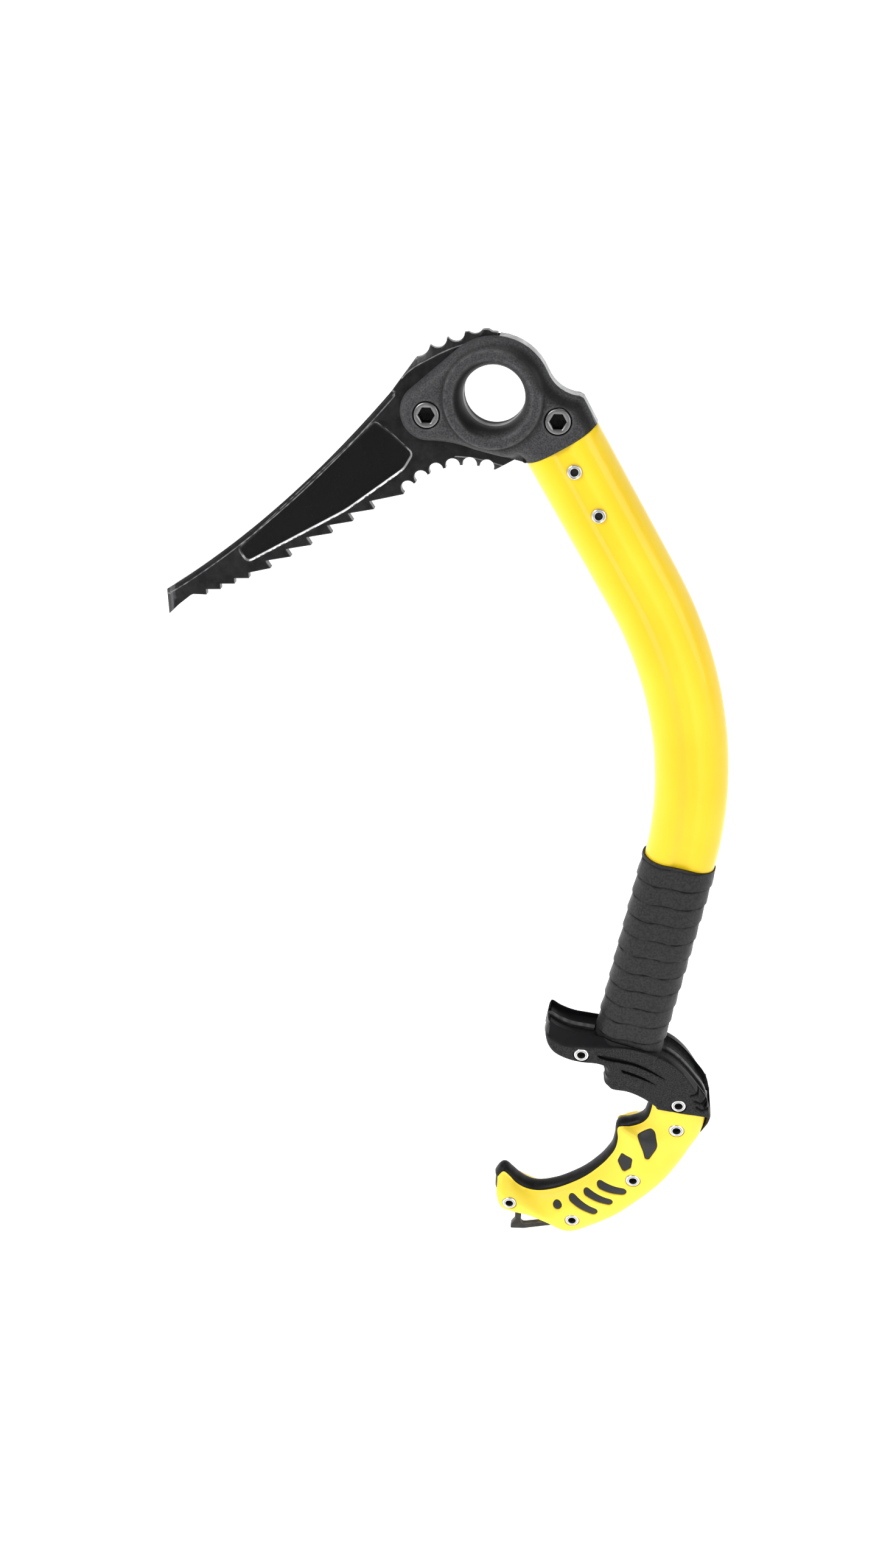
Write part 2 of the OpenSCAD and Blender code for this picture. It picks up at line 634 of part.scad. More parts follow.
// Half sections across a pair of rails, flat against the middle and domed outwards
dome_steps = 14;
upper_power = 5;
lower_power = 3.4;
function dome(f, b, y0, y1, power) = [for (i = [0:dome_steps])
    let (a = 180 * i / dome_steps, c = cos(a), s = sin(a),
         p = (f + b) / 2 + (b - f) / 2 * sign(c) * pow(abs(c), 2 / power))
    [p[0], y0 + (y1 - y0) * pow(s, 2 / power), p[1]]];

// One shell on the rear side, lofted along its rails with n steps between stations
module shell_blank(rails, half_t, n, power) {
    f = smooth(finger_rail(rails), n);
    b = smooth(back_rail(rails), n);
    t = smooth(thick_rail(rails), n);
    loft([for (i = [0:len(f) - 1]) dome(f[i], b[i], frame_y, half_t * t[i], power)]);
}

// Room for the taped end of the shaft, and for a shell's rivets
module shaft_room() {
    translate([0, 0, -socket_len - fit]) linear_extrude(big) bone(-tape_room);
}
module eyelet_room(places, half_t, share) {
    for (i = [0:len(places) - 1]) {
        cross(places[i], eyelet_r + fit, 0, big);
        cross(places[i], eyelet_flange_r + fit, half_t * share[i] - flange_h, big);
    }
}

module upper_shell() {
    difference() {
        shell_blank(upper_rails, horn_t / 2, 3, upper_power);
        shaft_room();
        eyelet_room(upper_eyelets, horn_t / 2, upper_eyelet_share);
    }
}

module lower_shell() {
    difference() {
        shell_blank(lower_rails, grip_t / 2, 3, lower_power);
        slab(0, liner_y + fit / 2) polygon(liner_outline(fit, frame_lap, 2 * liner_proud));
        slab(0, big) windows(0);
        eyelet_room(lower_eyelets, grip_t / 2, lower_eyelet_share);
    }
}

module upper_shell_rear() { color("#222224") at_grip() upper_shell(); }
module upper_shell_front() { color("#222224") at_grip() mirror([0, 1, 0]) upper_shell(); }
module lower_shell_rear() { color("#f5dc1e") at_grip() lower_shell(); }
module lower_shell_front() { color("#f5dc1e") at_grip() mirror([0, 1, 0]) lower_shell(); }

module grip_rivets(places, half_t, share) {
    color("gainsboro") at_grip() for (i = [0:len(places) - 1])
        eyelet(places[i], half_t * share[i] - flange_h, eyelet_r, eyelet_flange_r, eyelet_hole_r);
}
module upper_grip_rivets() { grip_rivets(upper_eyelets, horn_t / 2, upper_eyelet_share); }
module lower_grip_rivets() { grip_rivets(lower_eyelets, grip_t / 2, lower_eyelet_share); }

// A point on the shaft's section at angle a, moved outwards by t
function bone_point(a, t) =
    let (lobe = [lobe_x, 0], floor = [0, groove_c], crease = meet(lobe, shaft_t / 2 + t, floor, groove_r - t),
         q = positive(a) % 180, m = min(q, 180 - q), share = m / turn(crease),
         k = turn(crease - floor) + 90,
         p = share > 1 ? on_arc(floor, groove_r - t, k * (90 - m) / (90 - turn(crease)) - 90)
                       : on_arc(lobe, shaft_t / 2 + t, turn(crease - lobe) * share))
    [q > 90 ? -p[0] : p[0], p[1]] * (positive(a) >= 180 ? -1 : 1);

// The tape: a skin whose laps climb the shaft in one helix
lap_sides = 36;
lap_steps = [[0, tape_thin], [0.07, tape_thick], [0.5, (tape_thin + tape_thick) / 2]];
module tape_skin() {
    k = len(lap_steps);
    turns = ceil((tape_len + socket_len) / lap_pitch) + 2;
    rows = turns * k;
    start = -socket_len - lap_pitch * 1.5;
    pts = [for (i = [0:rows - 1], j = [0:lap_sides - 1])
        let (s = lap_steps[i % k], p = bone_point(360 * j / lap_sides, s[1]))
        [p[0], p[1], start + lap_pitch * (floor(i / k) + s[0] + j / lap_sides)]];
    last = lap_sides - 1;
    low = len(pts);
    top = low + 1;
    skin = [for (i = [0:rows - 2], j = [0:last])
        let (a = i * lap_sides + j, b = j < last ? a + 1 : (i + k) * lap_sides)
        if (j < last || i + k + 1 < rows) each [[a, a + lap_sides, b + lap_sides], [a, b + lap_sides, b]]];
    foot = concat([for (j = [0:last - 1]) [low, j, j + 1]], [[low, last, k * lap_sides]],
        [for (i = [0:k - 1]) [low, (i + 1) * lap_sides, i * lap_sides]]);
    e = (rows - 1) * lap_sides;
    ends = (rows - 1 - k) * lap_sides + last;
    crown = concat([for (j = [0:last - 1]) [top, e + j + 1, e + j]],
        [for (i = [0:k - 1]) [top, ends + i * lap_sides, ends + (i + 1) * lap_sides]],
        [[top, e, ends]]);
    polyhedron(points = concat(pts, [[0, 0, start - lap_pitch], [0, 0, start + lap_pitch * (turns + 2)]]),
        faces = concat(skin, foot, crown), convexity = 10);
}

module grip_tape() {
    color("#2a2a2b") at_grip() difference() {
        intersection() {
            tape_skin();
            translate([-shaft_w, -shaft_w, -socket_len]) cube([2 * shaft_w, 2 * shaft_w, tape_len + socket_len]);
        }
        translate([0, 0, -big / 2]) linear_extrude(big) bone(-fit);
    }
}

pick();
front_cheek();
rear_cheek();
head_spacer();
pick_bolt();
pick_nut();
shaft_bolt();
shaft_nut();
shaft_tube();
shaft_rivets();
grip_tape();
handle_frame();
tang_pins();
grip_liner();
upper_shell_front();
upper_shell_rear();
lower_shell_front();
lower_shell_rear();
upper_grip_rivets();
lower_grip_rivets();
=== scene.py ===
import math

import bmesh
import bpy
import numpy as np
from mathutils import Matrix, Vector, noise
from mathutils.bvhtree import BVHTree
from mathutils.geometry import delaunay_2d_cdt
from mathutils.kdtree import KDTree


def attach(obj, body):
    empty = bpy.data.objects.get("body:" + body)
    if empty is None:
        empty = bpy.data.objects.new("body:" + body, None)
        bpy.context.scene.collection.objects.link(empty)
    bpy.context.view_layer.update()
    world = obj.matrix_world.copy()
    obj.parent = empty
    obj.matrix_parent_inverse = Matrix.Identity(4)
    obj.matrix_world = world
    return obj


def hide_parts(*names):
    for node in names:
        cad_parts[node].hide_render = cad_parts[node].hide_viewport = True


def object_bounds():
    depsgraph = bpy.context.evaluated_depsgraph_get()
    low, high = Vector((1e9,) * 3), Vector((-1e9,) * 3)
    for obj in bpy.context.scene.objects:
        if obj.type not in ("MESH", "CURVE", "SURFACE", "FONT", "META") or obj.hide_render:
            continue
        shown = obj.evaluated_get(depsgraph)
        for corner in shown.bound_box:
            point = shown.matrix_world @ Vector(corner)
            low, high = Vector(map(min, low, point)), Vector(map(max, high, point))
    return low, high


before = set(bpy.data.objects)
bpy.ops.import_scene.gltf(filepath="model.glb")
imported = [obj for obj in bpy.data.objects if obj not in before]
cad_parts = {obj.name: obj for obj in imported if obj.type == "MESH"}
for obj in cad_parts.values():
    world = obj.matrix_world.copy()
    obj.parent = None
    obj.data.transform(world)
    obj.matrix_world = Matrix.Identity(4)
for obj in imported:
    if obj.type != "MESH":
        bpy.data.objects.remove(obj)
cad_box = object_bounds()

# Sizes in millimetres, as in the part's source
MM = 0.001
HOLE_R, LIP_R, WAIST, BOSS_H = 13.0, 16.0, 8.0, 2.5
HEAD_R, LOBE_R, NAPE_R, CHIN_R, NAPE_LEN = 24.0, 12.0, 16.0, 50.0, 13.0
BOLTS = PICK_BOLT, SHAFT_BOLT = np.array([-27.5, -7.5]), np.array([27.0, -8.5])
BOLT_HEAD_R, BOLT_HEAD_H, SHANK_R, SOCKET_AF, SOCKET_D = 5.5, 4.8, 4.0, 6.0, 3.5
NUT_AF, NUT_H = 13.0, 4.5
PICK_Y, CHEEK_Y, FRAME_Y = 2.0, 9.5, 2.0
SHAFT_W, SHAFT_T, GROOVE_D, GROOVE_R, WALL = 34.0, 19.0, 1.3, 30.0, 1.6
HEAD_TILT, BEND, BEND_R = 31.0, 40.0, 207.0
UPPER_LEN, LOWER_LEN, SOCKET_LEN = 73.0, 110.0, 3.0
TAPE_LEN, TAPE_TOP, LAP_PITCH, TAPE_THIN, TAPE_THICK = 106.0, 6.0, 10.5, 0.55, 1.3
LINER_Y, LINER_PROUD, RIM_LAP, HORN_Y, GRIP_Y, PAD_SINK = 4.3, 2.0, 0.6, 12.0, 13.25, 0.5
EYELET_R, EYELET_FLANGE, EYELET_BORE, EYELET_RIM = 2.6, 3.9, 2.0, 0.9
SHAFT_EYELET_R, SHAFT_EYELET_FLANGE, SHAFT_EYELET_BORE = 2.2, 3.2, 1.6
FIT = 0.2


# Flat geometry
def polar(c, r, a):
    return np.asarray(c, float) + r * np.array([math.cos(math.radians(a)), math.sin(math.radians(a))])


def heading(a):
    """The direction at an angle."""
    return polar((0, 0), 1, a)


def arc(c, r, a, b, n):
    return [polar(c, r, a + (b - a) * i / n) for i in range(n + 1)]


def unit(v):
    return np.asarray(v, float) / np.linalg.norm(v)


def unit_rows(v):
    return v / np.linalg.norm(v, axis=1)[:, None]


def chain(*lines):
    """Lines of points, or of values, one after another."""
    return np.concatenate(lines)


def left_of(v):
    """A vector, or each of several, turned a quarter to the left."""
    return np.stack([-v[..., 1], v[..., 0]], -1)


def turn(v):
    return math.degrees(math.atan2(v[1], v[0]))


def meet(c1, r1, c2, r2):
    """The point at r1 from c1 and r2 from c2, to the left of the way from c1 to c2."""
    c1, c2 = np.asarray(c1, float), np.asarray(c2, float)
    d = np.linalg.norm(c2 - c1)
    u = (c2 - c1) / d
    a = (d * d + r1 * r1 - r2 * r2) / (2 * d)
    return c1 + a * u + math.sqrt(max(0.0, r1 * r1 - a * a)) * left_of(u)


def rounded(corners):
    """A closed outline with each corner (x, z, radius) rounded in 8 steps."""
    out = []
    for i, (x, z, r) in enumerate(corners):
        p = np.array([x, z])
        u = unit(np.array(corners[i - 1][:2]) - p)
        v = unit(np.array(corners[(i + 1) % len(corners)][:2]) - p)
        half = math.acos(np.clip(u @ v, -1, 1)) / 2
        c = p + unit(u + v) * r / math.sin(half)
        a, b = turn(p + u * r / math.tan(half) - c), turn(p + v * r / math.tan(half) - c)
        out += arc(c, r, a, a + (b - a + 540) % 360 - 180, 8)
    return np.array(out)


def smooth(points, n):
    """A smooth curve through points, with n steps between each pair."""
    p = np.asarray(points, float)
    out = []
    for i in range(len(p) - 1):
        a, b, c, d = p[max(i - 1, 0)], p[i], p[i + 1], p[min(i + 2, len(p) - 1)]
        for t in np.arange(n) / n:
            out.append((2 * b + (c - a) * t + (2 * a - 5 * b + 4 * c - d) * t * t
                        + (3 * b - a - 3 * c + d) * t ** 3) / 2)
    return np.array(out + [p[-1]])


def dense(line, step, closed=True):
    """The same line with points at most a step apart."""
    line = np.asarray(line, float)
    out = []
    for i in range(len(line) - (0 if closed else 1)):
        a, b = line[i], line[(i + 1) % len(line)]
        n = max(1, math.ceil(np.linalg.norm(b - a) / step - 1e-6))
        if np.linalg.norm(b - a) > 1e-4:
            out += [a + (b - a) * k / n for k in range(n)]
    return np.array(out if closed else out + [line[-1]])


def wound(loop, left=True):
    """The loop run so that its inside lies on the left, or on the right."""
    b = np.roll(loop, -1, axis=0)
    area = (loop[:, 0] * b[:, 1] - b[:, 0] * loop[:, 1]).sum()
    return loop if (area > 0) == left else loop[::-1]


def loop_of(points, gap, left=True):
    """A closed loop with points at most a gap apart."""
    return wound(dense(points, gap), left)


def inside(points, loop):
    """Which of the points lie inside a closed loop."""
    a, b = loop, np.roll(loop, -1, axis=0)
    out = np.zeros(len(points), bool)
    for i in range(0, len(points), 2000):
        x, z = points[i:i + 2000, 0][:, None], points[i:i + 2000, 1][:, None]
        rise = np.where(b[:, 1] == a[:, 1], 1e-12, b[:, 1] - a[:, 1])
        cross = (b[:, 0] - a[:, 0]) * (z - a[:, 1]) / rise + a[:, 0]
        out[i:i + 2000] = (((a[:, 1] > z) != (b[:, 1] > z)) & (x < cross)).sum(1) % 2 == 1
    return out


def nearest(points, line, closed=False):
    """How far each point is from a line, and where along it, as a share, its nearest spot lies."""
    line = np.asarray(line, float)
    a = line if closed else line[:-1]
    d = (np.roll(line, -1, axis=0) if closed else line[1:]) - a
    length = np.maximum((d * d).sum(1), 1e-12)
    far, place = np.empty(len(points)), np.empty(len(points))
    for i in range(0, len(points), 500):
        p = points[i:i + 500, None] - a
        t = np.clip((p * d).sum(2) / length, 0, 1)
        gap = ((p - t[..., None] * d) ** 2).sum(2)
        k = gap.argmin(1)
        row = np.arange(len(k))
        far[i:i + 500] = np.sqrt(gap[row, k])
        place[i:i + 500] = (k + t[row, k]) / len(d)
    return far, place


def distance(points, line, closed=False):
    return nearest(points, line, closed)[0]


def depth_in(points, loop, line=None):
    """How deep each point lies in a loop, from its edge or from a line; 0 outside it."""
    far = distance(points, loop, True) if line is None else distance(points, line)
    return np.where(inside(points, loop), far, 0)


def radius(points, c):
    return np.linalg.norm(points - np.asarray(c), axis=1)


def inset(loop, d):
    """Runs of points at a depth d to the left of a dense closed loop."""
    p = loop + d * left_of(unit_rows(np.roll(loop, -1, axis=0) - np.roll(loop, 1, axis=0)))
    good = distance(p, loop, True) > 0.96 * d
    if good.all():
        return [(p, True)]
    start = int(np.argmin(good))
    p, good = np.roll(p, -start, axis=0), np.roll(good, -start)
    # The first run lies too near the loop, and then every other one
    runs = np.split(p, np.flatnonzero(np.diff(good)) + 1)
    return [(run, False) for run in runs[1::2] if len(run) > 1]


def insets(loop, depths):
    return [run for d in depths for run in inset(loop, d)]


def beside(line, d):
    """An open line moved sideways by d."""
    return line + d * left_of(unit_rows(np.gradient(line, axis=0)))


def step(a, b, x):
    t = np.clip((x - a) / (b - a), 0, 1)
    return t * t * (3 - 2 * t)


def bulge(d, width, power):
    """From 0 at an edge to 1 at a width from it, round as a superellipse."""
    return (1 - (1 - np.clip(d / width, 0, 1)) ** power) ** (1 / power)


def hump(x, width):
    """A bell from 1 at 0 down to nothing."""
    return np.exp(-(x / width) ** 2)


def circle(c, r, n):
    return np.array(arc(c, r, 0, 360, n)[:-1])


def drilled(c, r, n):
    """A round hole's loop."""
    return circle(c, r, n)[::-1]


def clouds(points, size, seed):
    """Soft noise from -1 to 1 over points, with bumps of about that size."""
    return np.array([noise.noise(Vector((x / size + seed, z / size - seed, seed))) for x, z in points])


def patches(points, level, size, seed):
    return np.clip(level + clouds(points, size, seed), 0, 1)


# Meshes
def triangulate(outline, holes, guides, gap):
    """Triangles inside an outline and outside its holes, with edges along the guides."""
    points, edges = [], []
    for line, closed in [(loop, True) for loop in [outline] + holes] + guides:
        k, n = len(points), len(line)
        points.extend(line)
        edges.extend((k + i, k + (i + 1) % n) for i in range(n if closed else n - 1))

    def within(p):
        keep = inside(p, outline)
        for hole in holes:
            keep &= ~inside(p, hole)
        return keep

    tree = KDTree(len(points))
    for i, p in enumerate(points):
        tree.insert((p[0], p[1], 0), i)
    tree.balance()
    lo, hi = outline.min(0), outline.max(0)
    rows = np.arange(lo[1], hi[1], gap * 0.866)
    fill = np.array([(x + (gap / 2 if k % 2 else 0), z) for k, z in enumerate(rows)
                     for x in np.arange(lo[0], hi[0], gap)])
    points.extend(p for p in fill[within(fill)] if tree.find((p[0], p[1], 0))[2] > 0.7 * gap)
    out = delaunay_2d_cdt([Vector((p[0], p[1])) for p in points], edges, [], 0, 1e-4)
    flat, tris = np.array([v[:] for v in out[0]]), np.array(out[2])
    used, tris = np.unique(tris[within(flat[tris].mean(1))], return_inverse=True)
    return flat[used], tris.reshape(-1, 3)


def solid(flat, tris, near, far):
    """A closed solid over a triangulated area, from the heights of its two faces."""
    n = len(flat)
    near, far = np.broadcast_to(near, n), np.broadcast_to(far, n)
    verts = chain(*(np.stack([flat[:, 0], y, flat[:, 1]], 1) for y in (near, far)))
    faces = tris.tolist() + (tris[:, ::-1] + n).tolist()
    ways = {(t[i], t[(i + 1) % 3]) for t in tris.tolist() for i in range(3)}
    faces += [[b, a, a + n, b + n] for a, b in sorted(ways) if (b, a) not in ways]
    return verts, faces


def tube(rings, closed=False, caps=True):
    """A skin over rings with the same number of points; closed joins the last to the first."""
    rings = np.asarray(rings, float)
    k, m = rings.shape[:2]
    faces = []
    for i in range(k if closed else k - 1):
        a, b = i * m, (i + 1) % k * m
        faces += [[a + j, a + (j + 1) % m, b + (j + 1) % m, b + j] for j in range(m)]
    if caps and not closed:
        faces += [list(range(m))[::-1], [(k - 1) * m + j for j in range(m)]]
    return rings.reshape(-1, 3), faces


def lathe(profile, c, sides, shape=None):
    """Rings round a line across the tool; shape gives each ring's own form."""
    rings = []
    for i, (r, y) in enumerate(profile):
        a = np.arange(sides) * 2 * math.pi / sides
        k = r if shape is None else r * shape(i, a)
        rings.append(np.stack([c[0] + k * np.cos(a), np.full(sides, y), c[1] + k * np.sin(a)], 1))
    return rings


def joined(*parts):
    verts, faces = [], []
    for v, f in parts:
        k = sum(len(w) for w in verts)
        verts.append(np.asarray(v, float))
        faces += [[i + k for i in g] for g in f]
    return chain(*verts), faces


def mirrored(part):
    verts, faces = part
    return verts * np.array([1, -1, 1]), [g[::-1] for g in faces]


def shown(name, data):
    """A new object in the scene."""
    obj = bpy.data.objects.new(name, data)
    bpy.context.scene.collection.objects.link(obj)
    return obj


def mesh_of(name, verts, faces, material):
    mesh = bpy.data.meshes.new(name)
    mesh.from_pydata(verts.tolist(), [], faces)
    mesh.shade_smooth()
    mesh.materials.append(material)
    return mesh


def piece(name, part, material, slot, nodes, crease, **marks):
    """A piece of the tool, built from points in millimetres; marks are repeated over all of them."""
    verts, faces = part
    mesh = mesh_of(name, verts * MM, faces, material)
    bm = bmesh.new()
    bm.from_mesh(mesh)
    bmesh.ops.recalc_face_normals(bm, faces=bm.faces)
    bm.to_mesh(mesh)
    bm.free()
    mesh.set_sharp_from_angle(angle=math.radians(crease))
    for key, values in marks.items():
        values = np.resize(np.asarray(values, float), len(verts))
        mesh.attributes.new(key, "FLOAT", "POINT").data.foreach_set("value", values)
    obj = shown(name, mesh)
    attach(obj, "root")
    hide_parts(*nodes)


# Materials
def grey(v, blue=None):
    return (v, v, v if blue is None else blue)


class Look:
    """A material whose colour, roughness and grain come from noise in the tool's own space."""

    def __init__(self, name, metallic=0.0, specular=0.5, coat=0.0, coat_rough=0.1):
        self.material = bpy.data.materials.new(name)
        self.material.use_nodes = True
        self.nodes, self.links = self.material.node_tree.nodes, self.material.node_tree.links
        self.shader = self.nodes["Principled BSDF"].inputs
        for key, value in (("Metallic", metallic), ("Specular IOR Level", specular),
                           ("Coat Weight", coat), ("Coat Roughness", coat_rough)):
            self.shader[key].default_value = value
        self.space = self.nodes.new("ShaderNodeTexCoord").outputs["Object"]
        self.height = None

    def new(self, kind, out, inputs, **settings):
        """An output of a new node, whose inputs are values, colours or other nodes' outputs."""
        node = self.nodes.new("ShaderNode" + kind)
        for key, value in settings.items():
            setattr(node, key, value)
        for key, value in inputs.items():
            socket = node.inputs[key]
            if isinstance(value, bpy.types.NodeSocket):
                self.links.new(value, socket)
            else:
                socket.default_value = (*value, 1.0) if socket.type == "RGBA" else value
        return node.outputs[out]

    def clouds(self, scale, detail=3.0, stretch=None, turn_y=0.0):
        """Noise at that many bumps to the metre, drawn out along an axis where stretch says."""
        space = self.space
        if stretch:
            rotation = (0.0, math.radians(turn_y), 0.0)
            space = self.new("Mapping", 0, {"Vector": space, "Scale": stretch, "Rotation": rotation})
        return self.new("TexNoise", "Fac", {"Vector": space, "Scale": scale, "Detail": detail})

    def spread(self, value, a, b, lo=0.35, hi=0.65):
        """A value from lo to hi drawn out to one from a to b."""
        return self.new("MapRange", "Result", {"Value": value, "From Min": lo, "From Max": hi,
                                               "To Min": a, "To Max": b})

    def noisy(self, lo, hi, scale, detail=3.0):
        """A value that noise moves between lo and hi."""
        return self.spread(self.clouds(scale, detail), lo, hi)

    def along(self, axis):
        return self.new("SeparateXYZ", axis, {0: self.space})

    def mark(self, name):
        return self.new("Attribute", "Fac", {}, attribute_name=name)

    def mixed(self, factor, a, b):
        """A colour between a and b."""
        return self.new("Mix", 2, {0: factor, 6: a, 7: b}, data_type="RGBA")

    def between(self, factor, a, b):
        """A value between a and b."""
        return self.new("Mix", 0, {0: factor, 2: a, 3: b}, data_type="FLOAT")

    def feed(self, key, value):
        self.links.new(value, self.shader[key])

    def colour(self, value):
        self.feed("Base Color", value)

    def rough(self, value):
        self.feed("Roughness", value)

    def metal(self, value):
        self.feed("Metallic", value)

    def bump(self, value, strength, depth):
        """A bump of that depth in millimetres, on top of the ones before it."""
        inputs = {"Strength": strength, "Distance": depth * MM, "Height": value}
        if self.height is not None:
            inputs["Normal"] = self.height
        self.height = self.new("Bump", "Normal", inputs)
        self.feed("Normal", self.height)


def head_look():
    k = Look("head_coating", specular=0.16)
    speckle = k.clouds(1500, 2)
    coat = k.mixed(k.spread(speckle, 0, 1, 0.3, 0.72), grey(0.026, 0.028), grey(0.078, 0.081))
    # Lighter where marked: partly real rubbing of the coating, partly a painted highlight along the boss's
    # edge, the hole's lip and the bolt seats
    coat = k.mixed(k.mark("rubbed"), coat, grey(0.19, 0.195))
    # Painted shade: where marked, the coating is painted near black
    k.colour(k.mixed(k.mark("crevice"), coat, grey(0.008)))
    k.rough(k.noisy(0.5, 0.62, 60))
    k.bump(speckle, 0.35, 0.12)
    return k.material


def pick_look():
    k = Look("pick_steel", specular=0.15)
    grind = k.clouds(900, 4, (1, 1, 0.04), 35)
    ground, worn = k.mark("ground"), k.mark("worn")
    black = k.mixed(k.noisy(0, 1, 220, 4), grey(0.008, 0.009), grey(0.018, 0.019))
    black = k.mixed(k.mark("sunk"), black, grey(0.004))
    steel = k.mixed(k.spread(grind, 0, 1, 0.3, 0.7), grey(0.11, 0.113), grey(0.32, 0.327))
    k.colour(k.mixed(worn, k.mixed(ground, black, steel), grey(0.55, 0.56)))
    k.rough(k.between(ground, k.noisy(0.2, 0.34, 90, 4), 0.36))
    k.metal(k.between(worn, k.spread(ground, 0.0, 0.9, 0.0, 1.0), 1.0))
    k.bump(k.clouds(700, 3), 0.12, 0.06)
    k.bump(grind, 0.1, 0.05)
    return k.material


# How far the lines of rolled metal are drawn out
ROLLED = (1, 1, 0.05)


def bare_look(name, tone, rough, scale, stretch):
    k = Look(name, metallic=1.0)
    lines = k.clouds(scale, 4, stretch, HEAD_TILT)
    bright = k.mixed(k.spread(lines, 0, 1), tuple(0.86 * t for t in tone), tone)
    # Painted shade: the marked rings, down a bolt's socket, are painted near black
    k.colour(k.mixed(k.mark("bore"), bright, grey(0.01)))
    k.rough(k.noisy(rough, rough + 0.14, 150, 4))
    k.bump(lines, 0.08, 0.04)
    return k.material


def spacer_look():
    """Bare metal along the nape, near black where the head meets the shaft."""
    k = Look("bare_alloy", metallic=1.0)
    lines = k.clouds(600, 4, ROLLED, HEAD_TILT)
    bright = k.mixed(k.spread(lines, 0, 1), grey(0.20, 0.205), grey(0.28, 0.285))
    place = k.new("Math", 0, {0: k.along("X"), 1: k.along("Z")}, operation="ADD")
    k.colour(k.mixed(k.spread(place, 0, 1, 0.012, 0.016), grey(0.02), bright))
    k.rough(k.noisy(0.24, 0.38, 150, 4))
    k.bump(lines, 0.08, 0.04)
    return k.material


def rivet_look():
    k = Look("rivet_steel")
    # Painted shade in the bore, and painted shade and dark reflections in rings on the rim, where marked:
    # near black and not metallic
    bore = k.mark("bore")
    bright = k.mixed(k.noisy(0, 1, 300, 4), grey(0.74), grey(0.86))
    k.colour(k.mixed(bore, bright, grey(0.006)))
    k.metal(k.spread(bore, 1.0, 0.0, 0.0, 0.6))
    k.rough(k.between(bore, k.noisy(0.1, 0.2, 150, 4), 0.8))
    return k.material


def yellow_look(name, tones, tone_scale, rough, rough_scale, grain, **gloss):
    k = Look(name, **gloss)
    k.colour(k.mixed(k.noisy(0, 1, tone_scale), *tones))
    k.rough(k.noisy(*rough, rough_scale))
    k.bump(k.clouds(grain[0], 2), grain[1], 0.05)
    return k.material


def horn_look():
    k = Look("black_plastic", specular=0.12)
    grain = k.clouds(1500, 2)
    rough = k.mark("grain")
    sides = k.mixed(k.spread(grain, 0, 1, 0.3, 0.7), grey(0.006, 0.007), grey(0.036, 0.037))
    # Painted shade: near black where marked deep, in the grooves and the rib hollows
    k.colour(k.mixed(k.mark("deep"), k.mixed(rough, grey(0.006, 0.007), sides), grey(0.003)))
    k.rough(k.spread(rough, 0.36, 0.55, 0.0, 1.0))
    k.bump(k.between(rough, 0.5, grain), 0.5, 0.14)
    return k.material


def liner_look():
    k = Look("liner_rubber", specular=0.15)
    body = k.mixed(k.noisy(0, 1, 300), grey(0.006), grey(0.012))
    k.colour(k.mixed(k.mark("pad"), body, grey(0.034, 0.035)))
    k.rough(k.noisy(0.38, 0.5, 90))
    k.bump(k.clouds(1100, 2), 0.2, 0.06)
    return k.material


def tape_look():
    k = Look("grip_tape_rubber", specular=0.16)
    lines = k.clouds(700, 4, (0.15, 1, 1), -9)
    # Painted shadow: near black in a thin line along each lap's edge
    edge = k.mark("lap")
    body = k.mixed(k.noisy(0, 1, 900, 4), grey(0.019, 0.020), grey(0.034, 0.035))
    k.colour(k.mixed(edge, body, grey(0.002)))
    k.rough(k.between(edge, k.noisy(0.36, 0.5, 120, 4), 0.9))
    k.bump(k.clouds(1400, 3), 0.25, 0.08)
    k.bump(lines, 0.2, 0.08)
    return k.material


def frame_look():
    k = Look("frame_coating", specular=0.18)
    worn = k.mark("worn")
    coat = k.mixed(k.noisy(0, 1, 400), grey(0.018, 0.019), grey(0.036, 0.037))
    k.colour(k.mixed(worn, coat, grey(0.5)))
    k.metal(worn)
    k.rough(k.noisy(0.38, 0.5, 100))
    k.bump(k.clouds(1200, 2), 0.2, 0.06)
    return k.material


HEAD, PICK, HORN, TAPE, FRAME = head_look(), pick_look(), horn_look(), tape_look(), frame_look()
SHAFT = yellow_look("shaft_paint", ((0.95, 0.645, 0.007), (0.98, 0.69, 0.014)), 25, (0.3, 0.4), 80,
                    (240, 0.05), specular=0.3, coat=0.4, coat_rough=0.05)
YELLOW = yellow_look("yellow_plastic", ((0.95, 0.70, 0.04), (0.98, 0.745, 0.055)), 40, (0.42, 0.52), 120,
                     (1300, 0.14), specular=0.45)
LINER, BARE, CHROME = liner_look(), spacer_look(), rivet_look()
GUNMETAL = bare_look("bolt_steel", grey(0.25, 0.255), 0.24, 500, None)
PIN = bare_look("pin_steel", grey(0.5, 0.51), 0.3, 600, ROLLED)

# Places in the plane of the tool
SHAFT_DIR, SHAFT_SIDE = heading(HEAD_TILT - 90), heading(HEAD_TILT)
SEAM = 31.0 * SHAFT_DIR + 14.6 * SHAFT_SIDE
BEND_START = SEAM + UPPER_LEN * SHAFT_DIR
BEND_CENTRE = BEND_START - BEND_R * SHAFT_SIDE
GRIP_TILT, BEND_LEN = BEND - HEAD_TILT, math.radians(BEND) * BEND_R
GRIP_U, GRIP_V = heading(-GRIP_TILT), heading(90 - GRIP_TILT)
BEND_END = BEND_CENTRE + BEND_R * GRIP_U
GRIP = BEND_END - LOWER_LEN * GRIP_V


def at_grip(part):
    """A part drawn in the grip's frame, put in its place on the tool."""
    verts, faces = part
    flat = GRIP + verts[:, :1] * GRIP_U + verts[:, 2:] * GRIP_V
    return np.stack([flat[:, 0], verts[:, 1], flat[:, 1]], 1), faces


# The shaft and its tape
LOBE_X = SHAFT_W / 2 - SHAFT_T / 2
FLOOR_C = np.array([0, SHAFT_T / 2 - GROOVE_D + GROOVE_R])
BOW = 1.1


